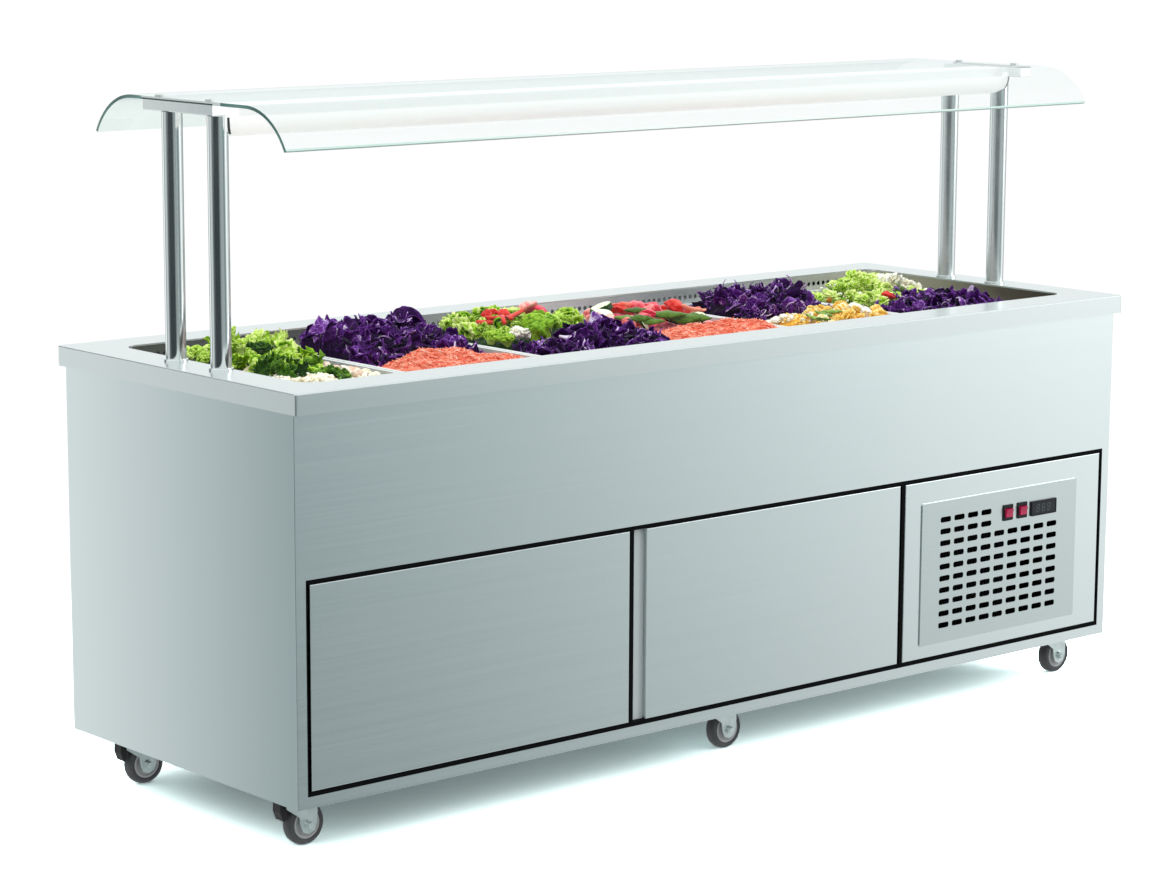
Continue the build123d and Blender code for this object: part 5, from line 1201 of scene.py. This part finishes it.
# ---- floor and light ----------------------------------------------------------
def floor_mat():
    """Pale seamless floor: painted light, brighter under and beside the body so that only real shade shows, just white
    further out.
    """
    m = bpy.data.materials.new("studio_floor")
    m.use_nodes = True
    nt = m.node_tree
    nt.nodes.clear()
    out = nt.nodes.new("ShaderNodeOutputMaterial")
    d = nt.nodes.new("ShaderNodeBsdfDiffuse")
    n = noise_fac(nt, obj_coord(nt), 1.3, 3.0, 0.5)
    near = mix_rgb(nt, n, (3.45, 4.12, 4.09), (3.51, 4.18, 4.15))
    # painted light: a little brighter towards the right, as if lit from that side
    sep = nt.nodes.new("ShaderNodeSeparateXYZ")
    nt.links.new(obj_coord(nt), sep.inputs[0])
    lift = nt.nodes.new("ShaderNodeVectorMath")
    lift.operation = "SCALE"
    nt.links.new(near, lift.inputs[0])
    nt.links.new(remap(nt, sep.outputs["X"], -1.0, 1.2, 0.86, 1.50), lift.inputs["Scale"])
    away = nt.nodes.new("ShaderNodeVectorMath")
    away.operation = "LENGTH"
    nt.links.new(obj_coord(nt), away.inputs[0])
    plain = ramp(nt, remap(nt, away.outputs["Value"], 0.0, 10.0, 0.0, 1.0), [(r / 10.0, (v, v, v)) for r, v in [(1.5, 0.685), (2.0, 0.655), (3.0, 0.668), (4.0, 0.676), (5.0, 0.685), (6.0, 0.69), (8.0, 0.70)]])
    # distance from the body's footprint
    past_x = math_node(nt, "MAXIMUM", math_node(nt, "SUBTRACT", math_node(nt, "ABSOLUTE", sep.outputs["X"]), 1.08), 0.0)
    past_y = math_node(nt, "MAXIMUM", math_node(nt, "SUBTRACT", math_node(nt, "ABSOLUTE", sep.outputs["Y"]), 0.383), 0.0)
    clear = math_node(nt, "SQRT", math_node(nt, "ADD", math_node(nt, "MULTIPLY", past_x, past_x), math_node(nt, "MULTIPLY", past_y, past_y)))
    beside = mix_rgb(nt, remap(nt, clear, 0.05, 0.45, 0.0, 1.0), lift.outputs[0], (1.15, 1.15, 1.15))
    nt.links.new(mix_rgb(nt, remap(nt, clear, 1.05, 1.6, 0.0, 1.0), beside, plain), d.inputs["Color"])
    nt.links.new(d.outputs[0], out.inputs["Surface"])
    return m


me = bpy.data.meshes.new("floor")
S = 40.0
me.from_pydata([(-S, -S, 0), (S, -S, 0), (S, S, 0), (-S, S, 0)], [], [(0, 1, 2, 3)])
me.materials.append(floor_mat())
floor = bpy.data.objects.new("floor", me)
scene.collection.objects.link(floor)
floor.visible_glossy = False
floor.visible_diffuse = False

world = bpy.data.worlds.new("studio")
scene.world = world
world.use_nodes = True
world.cycles.sampling_method = "NONE"
nt = world.node_tree
nt.nodes.clear()
w_out = nt.nodes.new("ShaderNodeOutputWorld")
bg = nt.nodes.new("ShaderNodeBackground")
nt.links.new(bg.outputs[0], w_out.inputs["Surface"])
tc = nt.nodes.new("ShaderNodeTexCoord")
sep = nt.nodes.new("ShaderNodeSeparateXYZ")
nt.links.new(tc.outputs["Generated"], sep.inputs[0])
az = math_node(nt, "ARCTAN2", sep.outputs["Y"], sep.outputs["X"])
az = remap(nt, az, -math.pi, math.pi, 0.0, 1.0)


def at_deg(d):
    return (d + 180.0) / 360.0


walls = ramp(nt, az, [(at_deg(d), c) for d, c in [
    (-180, (0.10, 0.12, 0.125)), (-172, (0.045, 0.055, 0.06)), (-122, (0.045, 0.055, 0.06)), (-106, (0.34, 0.38, 0.385)), (-80, (0.40, 0.45, 0.46)), (-66, (0.24, 0.29, 0.30)),
    (-60, (0.19, 0.24, 0.25)), (-54.2, (0.345, 0.41, 0.42)), (-47.2, (0.635, 0.695, 0.70)), (-40.2, (1.02, 1.04, 1.04)), (-36, (1.18, 1.20, 1.20)), (-28, (0.98, 1.0, 1.0)), (-10, (0.72, 0.75, 0.755)), (6, (0.40, 0.44, 0.445)),
    (60, (0.42, 0.46, 0.465)), (84, (0.66, 0.70, 0.70)), (108, (0.95, 0.97, 0.97)), (117, (1.30, 1.31, 1.31)), (121.5, (0.84, 0.865, 0.865)), (125.4, (0.34, 0.40, 0.41)), (128.5, (0.12, 0.16, 0.17)),
    (131, (0.30, 0.34, 0.35)), (138, (0.66, 0.70, 0.70)), (156, (0.64, 0.68, 0.68)), (172, (0.10, 0.12, 0.125)), (180, (0.10, 0.12, 0.125)),
]])
# darker towards the ground, then a pale floor; even and bright above the horizon
front = ramp(nt, az, [(at_deg(-80), 0.0), (at_deg(-66), 1.0), (at_deg(-40), 1.0), (at_deg(-20), 0.0)])
dusk = math_node(nt, "SUBTRACT", 1.0, math_node(nt, "MULTIPLY", front, remap(nt, sep.outputs["Z"], -0.262, -0.205, 0.42, 0.0)))
shadey = nt.nodes.new("ShaderNodeVectorMath")
shadey.operation = "SCALE"
nt.links.new(walls, shadey.inputs[0])
nt.links.new(dusk, shadey.inputs["Scale"])
behind = ramp(nt, az, [(at_deg(-180), 1.0), (at_deg(-122), 1.0), (at_deg(-104), 0.0), (at_deg(158), 0.0), (at_deg(172), 1.0)])
shadey = mix_rgb(nt, math_node(nt, "MULTIPLY", behind, remap(nt, sep.outputs["Z"], -0.255, -0.215, 1.0, 0.0)), shadey.outputs[0], (0.30, 0.335, 0.34))
low = remap(nt, sep.outputs["Z"], -0.50, -0.34, 1.0, 0.0)
walls = mix_rgb(nt, math_node(nt, "MULTIPLY", low, 0.8), shadey, (0.62, 0.66, 0.665))
roof = remap(nt, sep.outputs["Z"], -0.01, 0.06, 0.0, 1.0)
far_left = ramp(nt, az, [(at_deg(-180), 1.0), (at_deg(-174), 1.0), (at_deg(-166), 0.0), (at_deg(160), 0.0), (at_deg(170), 1.0)])
roof = math_node(nt, "MAXIMUM", roof, math_node(nt, "MULTIPLY", far_left, remap(nt, sep.outputs["Z"], -0.062, -0.03, 0.0, 1.0)))
walls = mix_rgb(nt, roof, walls, (0.93, 0.96, 0.965))
beyond = ramp(nt, az, [(at_deg(92), 0.0), (at_deg(98), 1.0), (at_deg(128), 1.0), (at_deg(134), 0.0)])
band = ramp(nt, sep.outputs["Z"], [(0.0, 0.0), (0.06, 1.0), (0.45, 1.0), (0.62, 0.0)])
walls = mix_rgb(nt, math_node(nt, "MULTIPLY", math_node(nt, "MULTIPLY", beyond, band), 0.85), walls, (0.05, 0.06, 0.065))
lp = nt.nodes.new("ShaderNodeLightPath")
# soft light: mostly from overhead, little from low down
dome = ramp(nt, remap(nt, sep.outputs["Z"], -1.0, 1.0, 0.0, 1.0), [(0.0, 0.62), (0.47, 0.62), (0.50, 0.04), (0.575, 0.14), (0.675, 0.62), (0.80, 1.45), (1.0, 2.10)])
seen = mix_rgb(nt, lp.outputs["Is Diffuse Ray"], (1.0, 1.0, 1.0), dome)
nt.links.new(mix_rgb(nt, lp.outputs["Is Glossy Ray"], seen, walls), bg.inputs["Color"])
bg.inputs["Strength"].default_value = 1.0


def softbox(name, loc, aim, size, radiance, glossy=True):
    d = bpy.data.lights.new(name, "AREA")
    d.shape = "RECTANGLE"
    d.size, d.size_y = size
    d.energy = radiance * math.pi * size[0] * size[1]
    o = bpy.data.objects.new(name, d)
    scene.collection.objects.link(o)
    o.location = loc
    o.rotation_mode = "QUATERNION"
    o.rotation_quaternion = (Vector(aim) - Vector(loc)).to_track_quat("-Z", "Y")
    o.visible_camera = False
    o.visible_glossy = glossy
    return o


softbox("top_light", (0.2, -0.3, 4.6), (0.2, -0.1, 0.8), (4.2, 2.4), 1.6, False)
softbox("key_light", (4.6, -3.4, 2.0), (0.5, -0.3, 0.5), (2.4, 2.4), 2.2)
